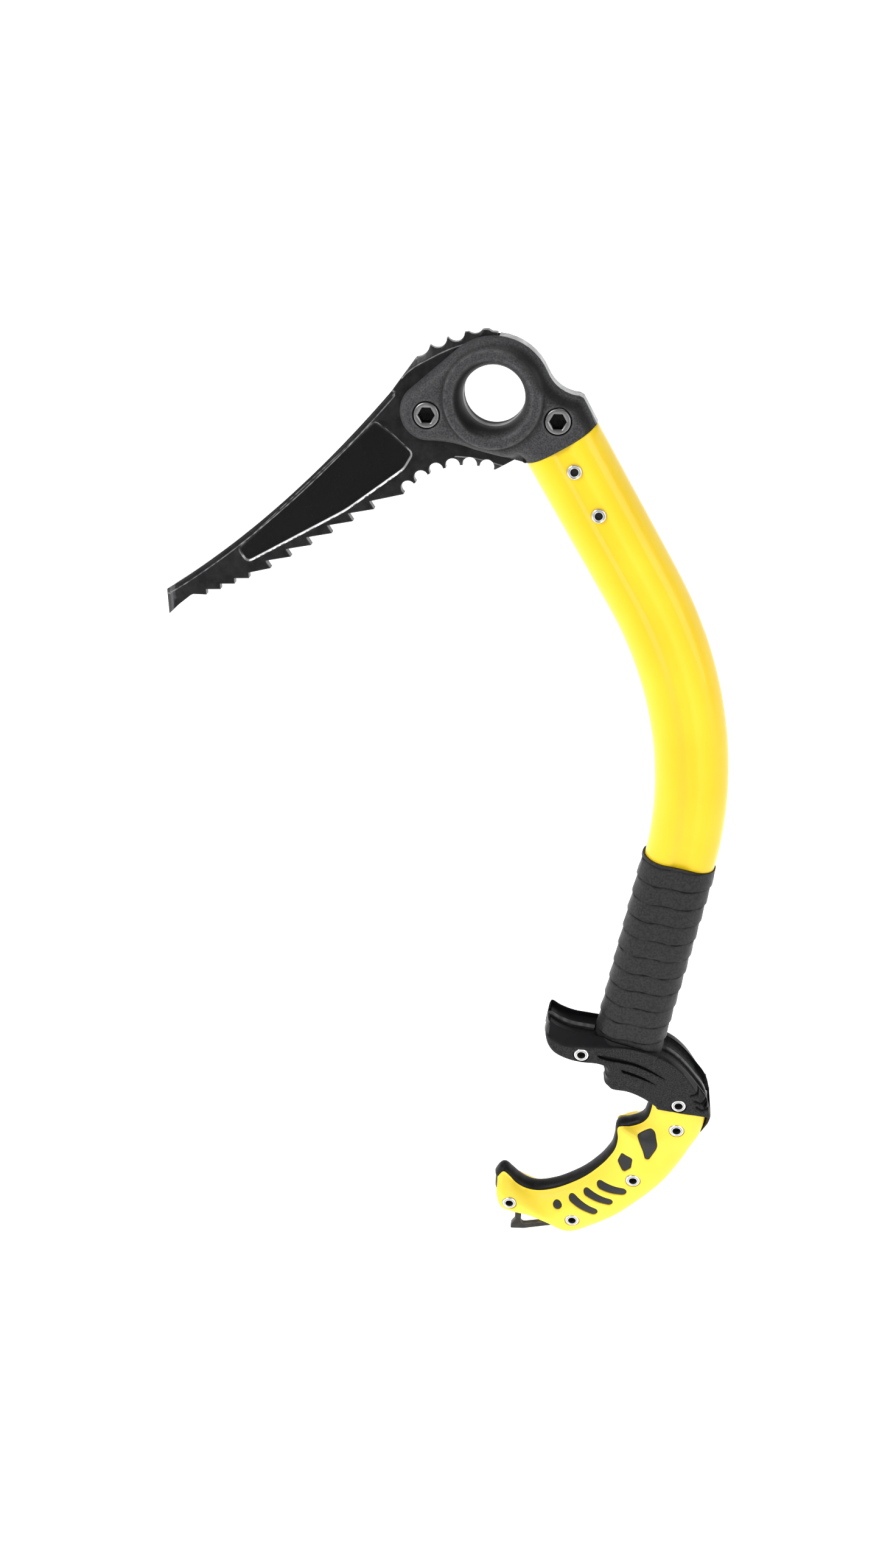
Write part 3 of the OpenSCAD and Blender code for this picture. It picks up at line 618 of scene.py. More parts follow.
def section(n, grow=0.0, soft=10):
    """The shaft's section, n points from +X towards +Y, with its grooves' edges softened."""
    fine = 4 * n
    lobe = np.array([LOBE_X, 0])
    crease = meet(lobe, SHAFT_T / 2 + grow, FLOOR_C, GROOVE_R - grow)
    up = arc(lobe, SHAFT_T / 2 + grow, 0, turn(crease - lobe), 60)
    up += arc(FLOOR_C, GROOVE_R - grow, turn(crease - FLOOR_C), -90, 20)[1:]
    quarter = np.array(up)
    half = chain(quarter, (quarter * [-1, 1])[-2::-1])
    loop = chain(half, (half * [1, -1])[-2:0:-1])
    loop = chain(loop, loop[:1])
    walk = chain([0], np.cumsum(np.linalg.norm(np.diff(loop, axis=0), axis=1)))
    at = np.arange(fine) * walk[-1] / fine
    ring = np.stack([np.interp(at, walk, loop[:, k]) for k in (0, 1)], 1)
    for _ in range(soft):
        ring = (np.roll(ring, 1, axis=0) + 2 * ring + np.roll(ring, -1, axis=0)) / 4
    return ring[::4]


def lobe_height(x, grow=0.0):
    """How high the shaft's lobes stand at a distance from its middle line."""
    return np.sqrt(np.maximum(0, (SHAFT_T / 2 + grow) ** 2 - np.maximum(np.abs(x) - LOBE_X, 0) ** 2))


def shaft_ring(s, ring):
    """A section's points, each at its own distance s below the head along the shaft."""
    out = []
    for t, (x, y) in zip(np.broadcast_to(s, len(ring)), ring):
        if t < UPPER_LEN:
            p = SEAM + t * SHAFT_DIR + x * SHAFT_SIDE
        elif t < UPPER_LEN + BEND_LEN:
            p = polar(BEND_CENTRE, BEND_R + x, HEAD_TILT - math.degrees((t - UPPER_LEN) / BEND_R))
        else:
            p = BEND_END - (t - UPPER_LEN - BEND_LEN) * GRIP_V + x * GRIP_U
        out.append((p[0], y, p[1]))
    return out


def shaft_tube():
    outer, inner = section(120), section(120, -WALL)
    bend_end = UPPER_LEN + BEND_LEN
    head_end = BOW * (1 - (outer[:, 0] / (SHAFT_W / 2)) ** 2) * step(1, 8, np.abs(outer[:, 1]))
    places = chain([0, 0.15, 0.5], np.linspace(3, UPPER_LEN, 18), np.linspace(UPPER_LEN, bend_end, 70)[1:],
                   np.linspace(bend_end, bend_end + LOWER_LEN + SOCKET_LEN, 24)[1:])
    rings, back = [], []
    for s in places:
        at = s + head_end * max(0, 1 - s / 20)
        rings.append(shaft_ring(at, outer * (1 - 0.012 * (1 - min(1, s / 0.5)))))
        back.append(shaft_ring(at, inner))
    piece("shaft", tube(rings + back[::-1], closed=True), SHAFT, "shaft_yellow", ["shaft_tube"], crease=60)


TAPE_SIDES, TAPE_ROWS, FAR_CLIMB = 160, 420, 0.72
LAP_RISE, TAPE_LEAST, TAPE_MOST = 0.04, 0.45, 1.35


def noise_round(angles, r, z):
    return np.array([noise.noise(Vector((math.cos(a) * r, math.sin(a) * r, h)))
                     for a, h in zip(angles, np.broadcast_to(z, len(angles)))])


def grip_tape():
    turns = np.arange(TAPE_SIDES) / TAPE_SIDES
    angles = turns * 2 * math.pi
    core = section(TAPE_SIDES, 0.02, 6)
    # Drawn tight, it bridges the shaft's grooves
    over = np.abs(core[:, 0]) < LOBE_X
    bridge = SHAFT_T / 2 + 0.02 - 0.25 * (1 - (core[:, 0] / LOBE_X) ** 2)
    core[over, 1] = (np.sign(core[:, 1]) * bridge)[over]
    out = -left_of(unit_rows(np.roll(core, -1, axis=0) - np.roll(core, 1, axis=0)))
    # The laps climb mostly on the far side, so that they lie nearly square across the near one
    climb = np.where(turns < 0.5, turns * 2 * FAR_CLIMB, FAR_CLIMB + (turns - 0.5) * 2 * (1 - FAR_CLIMB))
    wave = noise_round(angles, 1.5, 3.0)
    low, high = -SOCKET_LEN, TAPE_LEN + TAPE_TOP
    top = high - 0.4 + 0.4 * np.cos(angles + 2.6)
    rings, laps = [], []
    for h in np.linspace(low, high, TAPE_ROWS):
        at = np.minimum(h, top)
        phase = (at - low) / LAP_PITCH - climb + 0.12 * wave
        lap = np.floor(phase)
        f = phase - lap
        uneven = np.array([noise.noise(Vector((0.31 * k, 7.7, 1.3))) for k in lap]) * 0.036
        pucker = noise_round(angles, 3.2, at / 6)
        full = np.where(f < LAP_RISE, f / LAP_RISE, 1 - (f - LAP_RISE) / (1 - LAP_RISE))
        thick = TAPE_THIN + (TAPE_THICK - TAPE_THIN) * full + np.maximum(0, pucker - 0.12) * 0.35 + uneven
        ring = core + out * np.clip(thick, TAPE_LEAST, TAPE_MOST)[:, None]
        rings.append(np.column_stack([ring, at]))
        # Painted shadow: a dark line along each lap's edge, fading with the pucker
        edge = hump(f, 0.055) + hump(f - 1, 0.09)
        laps.append(np.clip(edge * (0.75 + 0.8 * pucker), 0, 1))
    rings += [np.column_stack([core, np.minimum(h, top)]) for h in (high, low)]
    part = at_grip(tube(rings, closed=True))
    piece("grip_tape_wound", part, TAPE, "tape_rubber", ["grip_tape"], crease=70,
          lap=chain(*laps, np.zeros(2 * TAPE_SIDES)))


# The head
NAPE_CORNER = SEAM + SHAFT_W / 2 * SHAFT_SIDE - NAPE_LEN * SHAFT_DIR
NAPE_C = meet((0, 0), HEAD_R + NAPE_R, NAPE_CORNER, NAPE_R)
CHIN_C = meet((0, 0), HEAD_R + CHIN_R, PICK_BOLT, LOBE_R + CHIN_R)
BROW_TURN = turn(-PICK_BOLT) + math.degrees(math.asin((HEAD_R - LOBE_R) / np.linalg.norm(PICK_BOLT))) + 90


def head_rim():
    """The head's outline from its right corner at the shaft, over the top, to its left one."""
    line = [SEAM + SHAFT_W / 2 * SHAFT_SIDE, NAPE_CORNER + 1.2 * SHAFT_DIR]
    line += arc(NAPE_C, NAPE_R, turn(NAPE_CORNER - NAPE_C) - 4, turn(NAPE_C) - 180, 12)
    line += arc((0, 0), HEAD_R, turn(NAPE_C), BROW_TURN, 24)[1:]
    line += arc(PICK_BOLT, LOBE_R, BROW_TURN, turn(CHIN_C - PICK_BOLT) % 360, 20)[1:]
    line += arc(CHIN_C, CHIN_R, turn(PICK_BOLT - CHIN_C), turn(-CHIN_C), 12)[1:]
    return np.array(line + [SEAM - SHAFT_W / 2 * SHAFT_SIDE])


def seam_line():
    """The head's lower edge, bowed along the shaft's face."""
    return np.array([SEAM + t * SHAFT_W / 2 * SHAFT_SIDE + BOW * (1 - t * t) * SHAFT_DIR
                     for t in np.linspace(-1, 1, 25)[1:-1]])


def hexed(p, c):
    """Distance from c measured square to the six flats of a nut."""
    return np.max([np.abs((p - c) @ heading(a)) for a in (30, 90, 150)], axis=0)


# Where rings of points lie round the hole, inside the head's edge and round a bolt's seat
BOSS_RINGS = (13.12, 13.4, 13.8, 14.3, 14.9, 15.5, 16.1, 16.7,
              17.3, 18.0, 18.8, 19.5, 20.0, 20.5, 21.0, 21.6)
RIM_DEPTHS = (0.06, 0.22, 0.5, 0.9, 1.5, 2.3, 3.2, 4.2, 5.4, 6.8)
SEAT_RINGS, SEAT_SLOPE = (-0.05, 0, 0.3, 0.7, 1.2), 1.2
BOSS_EDGE, BOSS_FOOT = 19.8, 21.1


def cheek(rear):
    rim = dense(head_rim(), 0.7, False)
    outline = wound(chain(rim, seam_line()))
    guides = [(circle((0, 0), r, 128), True) for r in BOSS_RINGS]
    seat = NUT_AF / 2 + 0.3 if rear else BOLT_HEAD_R + 0.25
    for c in BOLTS:
        for d in SEAT_RINGS:
            corners = [polar(c, (seat + d) / math.cos(math.pi / 6), a) for a in range(0, 360, 60)]
            guides.append((dense(corners, 0.8) if rear else circle(c, seat + d, 64), True))
    guides += insets(outline, RIM_DEPTHS)
    flat, tris = triangulate(outline, [drilled((0, 0), HOLE_R, 128)], guides, 1.3)
    r = np.linalg.norm(flat, axis=1)
    edge = distance(flat, rim)
    above, across = -(flat - SEAM) @ SHAFT_DIR, (flat - SEAM) @ SHAFT_SIDE
    # The edge is round, but scooped along the nape
    nape_arc = arc(NAPE_C, NAPE_R, turn(NAPE_CORNER - NAPE_C), turn(NAPE_C) - 180, 12)
    nape = step(30, 8, distance(flat, nape_arc))
    wide, low = 4.6 + 2.2 * nape, PICK_Y + 1.6 * nape
    scoop = step(0, 1, edge / wide) * 0.55 * nape
    h = low + (CHEEK_Y - low) * (bulge(edge, wide, 2.0) * (1 - 0.55 * nape) + scoop)
    neck = step(9, 0, above)
    h = np.maximum(h * (1 - neck) + lobe_height(across) * neck, PICK_Y + 0.6)
    # The boss, and the mouth of the hole flaring out to its lip
    tall, wider = CHEEK_Y + BOSS_H - WAIST / 2, LIP_R - HOLE_R
    flare = (tall ** 2 + wider ** 2) / (2 * wider)
    mouth = WAIST / 2 + np.sqrt(np.maximum(0, flare ** 2 - np.maximum(HOLE_R + flare - r, 0) ** 2))
    top = CHEEK_Y + BOSS_H - 0.25 * step(16.5, 19.5, r)
    lip = np.minimum(mouth, top) - 0.45 * hump(r - LIP_R - 0.1, 0.7)
    h = np.where(r < 19.6, lip, h + (np.maximum(top, h) - h) * step(BOSS_FOOT, BOSS_EDGE, r))
    # Painted shade: near black at the foot of the boss, down the hole, on the hole's left wall, in the nape's
    # scoop and round the bolt seats
    crevice = [0.6 * hump(r - 21.2, 0.5), 0.8 * step(15.6, 13.2, r),
               0.9 * step(16.9, 15.6, r) * step(0.1, -0.7, flat[:, 0] / r),
               0.85 * nape * step(0.8, 2.2, edge) * step(wide, wide * 0.55, edge)]
    # Lighter lines at the boss's edge, the hole's lip and round the bolt seats: partly rubbed coating, partly
    # painted highlight
    rubbed = [0.4 * hump(r - BOSS_EDGE, 0.3), 0.4 * hump(r - 16.4, 0.35)]
    for c in BOLTS:
        q = hexed(flat, c) if rear else radius(flat, c)
        worn_in = 0.4 * (1 - np.clip((q - seat) / SEAT_SLOPE, 0, 1)) ** 2
        h = np.where(q < seat + SEAT_SLOPE, h - worn_in, h)
        h = np.where(q < seat - 0.02, CHEEK_Y - (NUT_H if rear else BOLT_HEAD_H), h)
        crevice.append(0.95 * (q < seat + 0.02))
        rubbed.append(0.3 * hump(q - seat - 0.5, 0.3))
    part = solid(flat, tris, -h, -PICK_Y)
    name = "rear_cheek" if rear else "front_cheek"
    piece(name + "_cast", mirrored(part) if rear else part, HEAD, "head_alloy", [name], crease=50,
          crevice=np.max(crevice, axis=0), rubbed=np.max(rubbed, axis=0) * patches(flat, 0.6, 3.0, 6.0))


# The pick
def sagged(a, b, d, n):
    """A hollow arc of depth d from a to b."""
    a, b = np.array(a), np.array(b)
    w = np.linalg.norm(b - a)
    r = (w * w / 4 + d * d) / (2 * d)
    u = (b - a) / w
    c = (a + b) / 2 + (r - d) * left_of(u)
    half = math.degrees(math.acos((r - d) / r))
    return arc(c, r, turn(u) - 90 - half, turn(u) - 90 + half, n)


ARCH_C, ARCH_R, HEEL_TURN = np.array([-9.9, -67.1]), 37.0, 141.0
NOTCH_STEP, NOTCH_R, NOTCHES = 11.3, 3.1, 6
COARSE_PITCH, COARSE_TEETH, FINE_PITCH, FINE_TEETH = 11.2, 6, 7.4, 4
TOP_BEVEL, POCKET_D, POCKET_WALL, TIP_Y = 2.15, 0.75, 1.15, 0.35
COARSE, FINE = heading(31.5), heading(23.5)
FIRST_COARSE = polar(ARCH_C, ARCH_R, HEEL_TURN) - 14.7 * heading(29)
FIRST_FINE = FIRST_COARSE - (COARSE_TEETH - 1) * COARSE_PITCH * COARSE - 11.5 * heading(27)
LAST_FINE = FIRST_FINE - (FINE_TEETH - 1) * FINE_PITCH * FINE
TIP = LAST_FINE - [18.8, 10.6]
TIP_TOP, BROW = TIP + [0, 12.0], np.array([-44.0, -1.0])
CROWN = [((-32.6, 14.2), (-26.9, 19.2), 1.375), ((-26.6, 19.2), (-19.9, 22.4), 2.5),
         ((-19.5, 22.5), (-12.6, 24.7), 2.75), ((-11, 24.9), (-5.4, 25.9), 1.25)]
POCKET = [(-114, -71.5, 2.4), (-50.4, -12, 2.5), (-44, -16.4, 6), (-33.6, -25.6, 3),
          (-38, -33, 10), (-64, -52.4, 60), (-110, -78.4, 3)]
RIDGE = smooth([(-38.6, 5.6), (-36.5, 7.8), (-32.7, 10.7), (-27.4, 13.6),
                (-21.8, 16.5), (-16.1, 18.9), (-8, 21.4)], 6)
TAIL_RIDGE = smooth([(-16, -26.4), (-12.5, -26.5), (-7.2, -27.0), (-1.3, -28.3), (5.5, -30.0)], 6)


def teeth(start, way, pitch, count, depth, lean):
    out = []
    for k in range(count):
        p = start - k * pitch * way
        out += [p + depth * left_of(way) + lean * way, p]
    return out


def pick_top():
    """The pick's upper edge, from the tip to the brow."""
    c = np.array([(BROW[0] + TIP[0]) / 2 + 2.5, (BROW[1] + TIP_TOP[1]) / 2 - 10.8])
    t = np.linspace(0, 1, 31)[:, None]
    return (1 - t) ** 2 * TIP_TOP + 2 * t * (1 - t) * c + t * t * BROW


def pick_heel():
    """The arch under the heel with its round notches."""
    r = ARCH_R + 0.4
    half = math.degrees(math.acos((ARCH_R ** 2 + r ** 2 - NOTCH_R ** 2) / (2 * ARCH_R * r)))
    out = []
    for k in reversed(range(NOTCHES)):
        mid = HEEL_TURN - (k + 0.5) * NOTCH_STEP
        c = polar(ARCH_C, r, mid)
        a, b = polar(ARCH_C, ARCH_R, mid - half), polar(ARCH_C, ARCH_R, mid + half)
        start = turn(a - c)
        out += arc(c, NOTCH_R, start, start + (turn(b - c) - start) % 360, 14)
    end = polar(ARCH_C, ARCH_R, HEEL_TURN - NOTCHES * NOTCH_STEP)
    return [end] + out + [polar(ARCH_C, ARCH_R, HEEL_TURN)]


def pick():
    saw = (teeth(FIRST_COARSE, COARSE, COARSE_PITCH, COARSE_TEETH, 4.0, 0)
           + teeth(FIRST_FINE, FINE, FINE_PITCH, FINE_TEETH, 2.4, 1))
    front = [LAST_FINE - [6.2, 0], LAST_FINE - [7.6, 0.7], TIP + [5.4, 5.2], TIP]
    top = pick_top()
    crown = [p for a, b, d in CROWN for p in sagged(a, b, d, 8)]
    tail = [(-3, 26.1), (-1.4, 25.2), (1, 25), (1, 0), (12, 0),
            (12, 12 * math.tan(math.radians(HEAD_TILT)) - 32.4)]
    outline = loop_of([tuple(p) for p in saw + front + list(top) + crown + tail + pick_heel()], 0.7)
    holes = [drilled((0, 0), HOLE_R, 96), drilled(PICK_BOLT, SHANK_R + FIT, 40)]
    pocket = loop_of(rounded(POCKET), 0.8)
    guides = [(pocket, True)] + insets(pocket, (0.12, 0.7, 1.1, 1.35)) + inset(pocket[::-1], 0.35)
    guides += insets(outline, (0.22, 0.45, 1.1, 1.85, TOP_BEVEL, 2.5))
    for line in (RIDGE, TAIL_RIDGE):
        guides += [(dense(beside(line, d), 0.8, False), False) for d in (-0.35, 0, 0.35)]
    flat, tris = triangulate(outline, holes, guides, 1.7)
    edge, upper = distance(flat, outline, True), distance(flat, top)
    h = PICK_Y - 0.75 * np.maximum(0, 0.42 - edge)
    h -= 0.3 * np.maximum(0, TOP_BEVEL - upper)
    crown_in = depth_in(flat, chain(RIDGE, [(-2, 30), (-45, 30), (-48, 0)]), RIDGE)
    h -= np.minimum(0.16 * crown_in, 0.75)
    tail_in = depth_in(flat, chain(TAIL_RIDGE, [(20, -60), (-20, -60)]), TAIL_RIDGE)
    h -= np.minimum(0.12 * tail_in, 0.5)
    sunk = depth_in(flat, pocket)
    h -= POCKET_D * np.clip(sunk / POCKET_WALL, 0, 1)
    brim = np.where(inside(flat, pocket), 0, np.clip(1 - distance(flat, pocket, True) / 0.7, 0, 1))
    h += 0.12 * brim * np.clip(edge / 2, 0, 1)
    chisel = 0.8 + 1.2 / 18 * ((flat - TIP) @ heading(40))
    blunt = flat[:, 0] - TIP[0] - 0.15 * (flat[:, 1] - TIP[1])
    h = np.minimum(h, np.minimum(chisel, 0.45 + 0.32 * np.maximum(blunt, 0)))
    h = np.maximum(h, TIP_Y)
    # Bare steel at the tip, the crown and the tail, and along the cut edges
    ground = np.max([0.4 * step(2.4, 1.6, blunt), 0.12 * step(0.1, 0.9, tail_in),
                     step(0.1, 0.8, crown_in) * (0.04 + 0.3 * step(-24, -29, flat[:, 0])),
                     0.5 * ((edge < 0.05) & (upper > 1))], axis=0)
    # Bright lines where the coating has worn off the edges
    floor_edge, mouth = rounded(POCKET)[27:], rounded(POCKET)[9:30]
    patchy = patches(flat, 0.5, 2.0, 5.0)
    worn = np.max([
        0.5 * (sunk > 0.1) * (sunk < 0.9) * step(1.9, 1.3, distance(flat, floor_edge)),
        0.5 * patchy * (sunk > 0.05) * (sunk < 0.5) * step(0.9, 0.6, distance(flat, mouth)),
        0.35 * patchy * (sunk > 0.05) * (sunk < 0.3),
        (0.35 + 0.4 * patchy) * step(0.3, 0.05, distance(flat, RIDGE)),
        (0.3 + 0.4 * patchy) * step(0.3, 0.05, distance(flat, TAIL_RIDGE)),
        (0.15 + 0.5 * patchy) * step(0.3, 0.05, np.abs(upper - TOP_BEVEL))], axis=0)
    piece("pick_forged", solid(flat, tris, -h, h), PICK, "pick_steel", ["pick"], crease=28,
          ground=ground, worn=worn, sunk=step(1.0, 1.3, sunk))


# Bolts and rivets
def hex_share(a):
    """How far a hexagon's side lies out at an angle, where its corners lie at 1."""
    k = np.mod(a, math.pi / 3) - math.pi / 6
    return math.cos(math.pi / 6) / np.cos(k)


BOLT_SIDES, RIVET_SIDES = 72, 56
# How much of a hexagon each of a bolt's rings is, and how dark the rings of bolts and rivets are painted:
# painted shade down the bolts' sockets and the rivets' bores, and painted shade and painted dark reflections
# in rings on the rivets' rims
HEXAGON = [1, 1, 1, 1, 0.8, 0.45, 0.15] + [0] * 9
BOLT_PAINTED_SHADE = [1, 1, 1, 0.9, 0.2] + [0] * 11
RIVET_PAINTED_SHADE = [1, 1, 1, 1, 0.25, 0, 0.35, 0.6, 0.1, 0, 0, 0.2, 0.6, 0.6, 0.3]
# A rivet's rolled rim: shares of the way from its bore to its flange, and drops below its top
ROLL = [(0, 0.6), (0.05, 0.25), (0.12, 0.05), (0.22, 0), (0.32, 0.12),
        (0.42, 0.4), (0.52, 0.2), (0.66, 0.08), (0.84, 0.22)]


def bolt(name, c):
    y, socket = -CHEEK_Y, SOCKET_AF / math.sqrt(3)
    profile = [(0.01, y + SOCKET_D + 0.5), (socket * 0.55, y + SOCKET_D), (socket, y + SOCKET_D - 0.1),
               (socket, y + 0.55), (socket * 1.06, y + 0.3), (socket * 1.16, y + 0.08), (socket * 1.25, y),
               (4.75, y), (5.1, y + 0.12), (5.35, y + 0.38), (BOLT_HEAD_R, y + 0.8),
               (BOLT_HEAD_R, y + BOLT_HEAD_H), (SHANK_R, y + BOLT_HEAD_H), (SHANK_R, CHEEK_Y - 0.9),
               (3.6, CHEEK_Y - 0.4), (0.01, CHEEK_Y - 0.4)]
    rings = lathe(profile, c, BOLT_SIDES, lambda i, a: 1 - HEXAGON[i] * (1 - hex_share(a)))
    piece(name + "_turned", tube(rings), GUNMETAL, "bolt_steel", [name], crease=30,
          bore=np.repeat(BOLT_PAINTED_SHADE, BOLT_SIDES))


def eyelet(c, seat, barrel=EYELET_R, flange=EYELET_FLANGE, bore=EYELET_BORE, deep=3.0):
    """A tubular rivet with rolled rims, seated on both sides, whose bore ends at a depth, its floor and walls
    painted dark as painted shade.
    """
    top = seat + EYELET_RIM
    half = [(0.02, top - deep), (bore, top - deep)]
    half += [(bore + k * (flange - bore), top - d) for k, d in ROLL]
    half += [(flange - 0.04, top - 0.5), (flange, seat + 0.15), (barrel, seat), (barrel, 0)]
    return tube(lathe(half + [(r, -y) for r, y in half[-2::-1]], c, RIVET_SIDES))


def rivets(name, parts):
    bore = np.repeat(RIVET_PAINTED_SHADE + RIVET_PAINTED_SHADE[-2::-1], RIVET_SIDES)
    piece(name + "_rolled", joined(*parts), CHROME, "rivet_steel", [name], crease=55, bore=bore)


# The grip, in its own frame: x and z on the finger side and on the back, and shares of the half width
UPPER = [(-43.8, -2, -43.8, 6.4, 0.8), (-41.4, -8, -41.6, 6.8, 0.92), (-37, -12.3, -37, 4.8, 0.96),
         (-30, -14.7, -30, 3.4, 0.97), (-22, -15.2, -22, 3.6, 0.97), (-14, -14, -13, 3.9, 0.98),
         (-9.4, -14.8, -3, 3, 1), (-7.6, -18.5, 6, 2.1, 1.01), (-7.2, -23.6, 15, 0.8, 1.02),
         (-3.4, -28, 24, -2, 1.03), (5, -27.7, 32, -7.3, 1.05), (12, -29, 39.5, -14.2, 1.06),
         (17, -31, 46, -21.2, 1.08), (21, -33, 50.6, -31, 1.1)]
# Here a last value is the share of its full height by which the liner stands proud
LOWER = [(21, -33.3, 49, -31.3, 0.97, 0.5), (21.3, -42.2, 49.4, -38, 1, 1), (20.7, -47.1, 49.3, -43, 1, 1),
         (18.2, -51.3, 49, -48, 1, 1), (13.3, -54.9, 47.8, -53, 1, 1), (7.2, -57.4, 46.4, -58.5, 1, 0.4),
         (8.7, -65.1, 44.8, -65, 1, 0.9), (8.9, -72, 42.6, -72.5, 1, 1), (7.3, -78.3, 39.4, -82, 1, 1),
         (3.9, -86.2, 35.2, -90.8, 1, 1), (-3.1, -97.1, 29, -101.5, 1, 1), (-13.3, -107.2, 20, -115, 1, 1),
         (-21.9, -112.6, 9.5, -126, 1, 1), (-28.2, -114.4, -2.5, -135, 1, 1),
         (-33.9, -113.9, -15, -132, 0.98, 1.3), (-39, -111.5, -26.5, -129.8, 0.95, 1.4),
         (-42.8, -108, -37, -130, 0.92, 1.1), (-46.9, -105.6, -44, -129, 0.85, 1.1),
         (-49.4, -110.4, -47.8, -121.5, 0.68, 1)]
WING = [(17.1, -55.6, 0.8), (24.9, -48.2, 2), (28.9, -58, 9), (25.5, -71, 1.5), (22, -63.6, 12)]
SQUARE = [(12.3, -71.6, 1.4), (18.2, -71, 1.4), (18.7, -77.4, 2), (15.6, -82, 1.4), (11.2, -77.6, 1.8)]
SLOTS = [((6.3, -95.3), (17.4, -94.3), 2.6), ((0.2, -102.7), (12, -103.7), 2.4),
         ((-6.6, -109.4), (5.4, -112.9), 2.5), ((-14, -115.7), (-14.2, -116.1), 2.4)]
UPPER_EYELETS = [((-22.8, -8.8), 0.97), ((32.8, -28), 1.06)]
LOWER_EYELETS = [((35.6, -44.2), 1.0), ((21.4, -84.8), 1.0), ((-4.4, -122.6), 1.0), ((-40.2, -121), 0.9)]
BACK_POWER, FINGER_POWER, TIP_POWER = 3.4, 1.7, 1.3
TROUGH_D, TROUGH_Y = 2.2, 8.6
CREASE = smooth([(-46, 0.6), (-42, -1.2), (-37.5, -3.2), (-31.6, -4.8), (-24, -3.6), (-16, -1.5), (-3.5, 1.4),
                 (5.7, 1.9), (15.2, 1.2), (25.6, -3.2), (33.3, -9.3), (40, -17), (46, -26)], 6)
GROOVES = [[(-15, -6.6), (-8.4, -5.6), (0.6, -5.9), (10.4, -7.5), (23, -12.7), (10.8, -9.4), (1, -8.2),
            (-7.8, -8.6), (-13, -8.3)],
           [(-1.2, -12.4), (6, -13.1), (12.1, -14.6), (19, -17.3), (12.3, -16), (6.3, -15), (0.4, -14.2)]]
RIBS = [[(38, -9.8), (39.6, -13.6), (39.7, -17.6), (37.6, -19.2)], [(40.6, -13), (42.2, -17.2), (44.3, -19)],
        [(40, -22.4), (42.9, -23), (45.4, -21.6), (46.6, -18.6)],
        [(41.8, -26.1), (44.5, -27.2), (46.9, -26.1), (48.3, -23)]]
TONGUE = [(49.2, -30.6), (50.4, -30.4), (50.9, -34), (50.8, -38), (50.3, -43), (49.7, -48), (48.5, -53.5),
          (49.15, -48), (49.4, -43), (49.5, -38), (49.2, -34)]
# Heights of the small ridges on the finger step
STEP_RIDGES = [-19.2, -24.6]


def columns(rails):
    rows = smooth(rails, 6)
    return rows[:, :2], rows[:, 2:4], *rows[:, 4:].T


UPPER_LINES, LOWER_LINES = columns(UPPER), columns(LOWER)


def slot(p, q, r, bow):
    """A slot's outline round a middle line that sags by bow."""
    p, q = np.array(p), np.array(q)
    side = left_of(q - p) / max(np.linalg.norm(q - p), 1e-6)
    t = np.linspace(0, 1, 13)[:, None]
    line = p + (q - p) * t - side * bow * 4 * t * (1 - t) + side * bow * 0.5
    d = unit_rows(np.gradient(line, axis=0))
    a, b = turn(d[0]), turn(d[-1])
    return chain(line + r * left_of(d), arc(line[-1], r, b + 90, b - 90, 12),
                 (line - r * left_of(d))[::-1], arc(line[0], r, a - 90, a - 270, 12))


SLOT_BOWS = (0.2, 0.2, 0.2, 0.0)
WINDOWS = [rounded(WING), rounded(SQUARE)] + [slot(*ends, bow) for ends, bow in zip(SLOTS, SLOT_BOWS)]


def dome_tree():
    """The face of the lower shells, before anything is cut into it."""
    f, b, t, _ = LOWER_LINES
    a = np.linspace(0, math.pi, 121)
    c, s = np.cos(a), np.maximum(np.sin(a), 0)
    rows = []
    for i in range(len(f)):
        finger = FINGER_POWER + (TIP_POWER - FINGER_POWER) * step(0.62, 0.78, i / len(f))
        power = np.where(c > 0, BACK_POWER, finger)
        across = np.sign(c) * np.abs(c) ** (2 / power)
        p = (f[i] + b[i]) / 2 + across[:, None] * (b[i] - f[i]) / 2
        up = FRAME_Y + (GRIP_Y * t[i] - FRAME_Y) * s ** (2 / power)
        rows.append(np.stack([p[:, 0], up, p[:, 1]], 1))
    verts, faces = tube(rows, caps=False)
    return BVHTree.FromPolygons(verts.tolist(), faces)


DOME = dome_tree()


def dome(flat):
    """How high the lower shells' face stands over points in the plane of the tool."""
    hits = [DOME.ray_cast(Vector((x, 100, z)), Vector((0, -1, 0)))[0] for x, z in flat]
    return np.array([hit[1] if hit else FRAME_Y for hit in hits])


def eyelet_seat(flat, h, places, half):
    """Lets the rivets' flanges into a face of height h."""
    for c, share in places:
        q = radius(flat, c)
        floor = half * share - EYELET_RIM - 0.05
        h = np.where(q < EYELET_FLANGE + 0.3, np.minimum(h, floor), h)
        h = h - 0.12 * hump(q - EYELET_FLANGE - 0.9, 0.6)
    return h


def eyelet_guides(places):
    return [(circle(c, EYELET_FLANGE + d, 48), True) for c, _ in places for d in (0.27, 0.32, 0.8, 1.5)]


def eyelet_holes(places, gap):
    return [drilled(c, EYELET_R + gap, 40) for c, _ in places]


def shells(name, part, material, slot, **marks):
    """The near half of a handle's shell, and the far one that mirrors it."""
    for side, half in (("front", part), ("rear", mirrored(part))):
        node = f"{name}_{side}"
        piece(node + "_moulded", half, material, slot, [node], crease=42, **marks)


TAPE_ROOM, LEAST_WALL, FACET_Y = 1.2, 0.7, 9.3
GROOVE_DEEP, GROOVE_WALL, RIB_DEEP, RIB_W = 1.3, 0.45, 1.2, 0.6


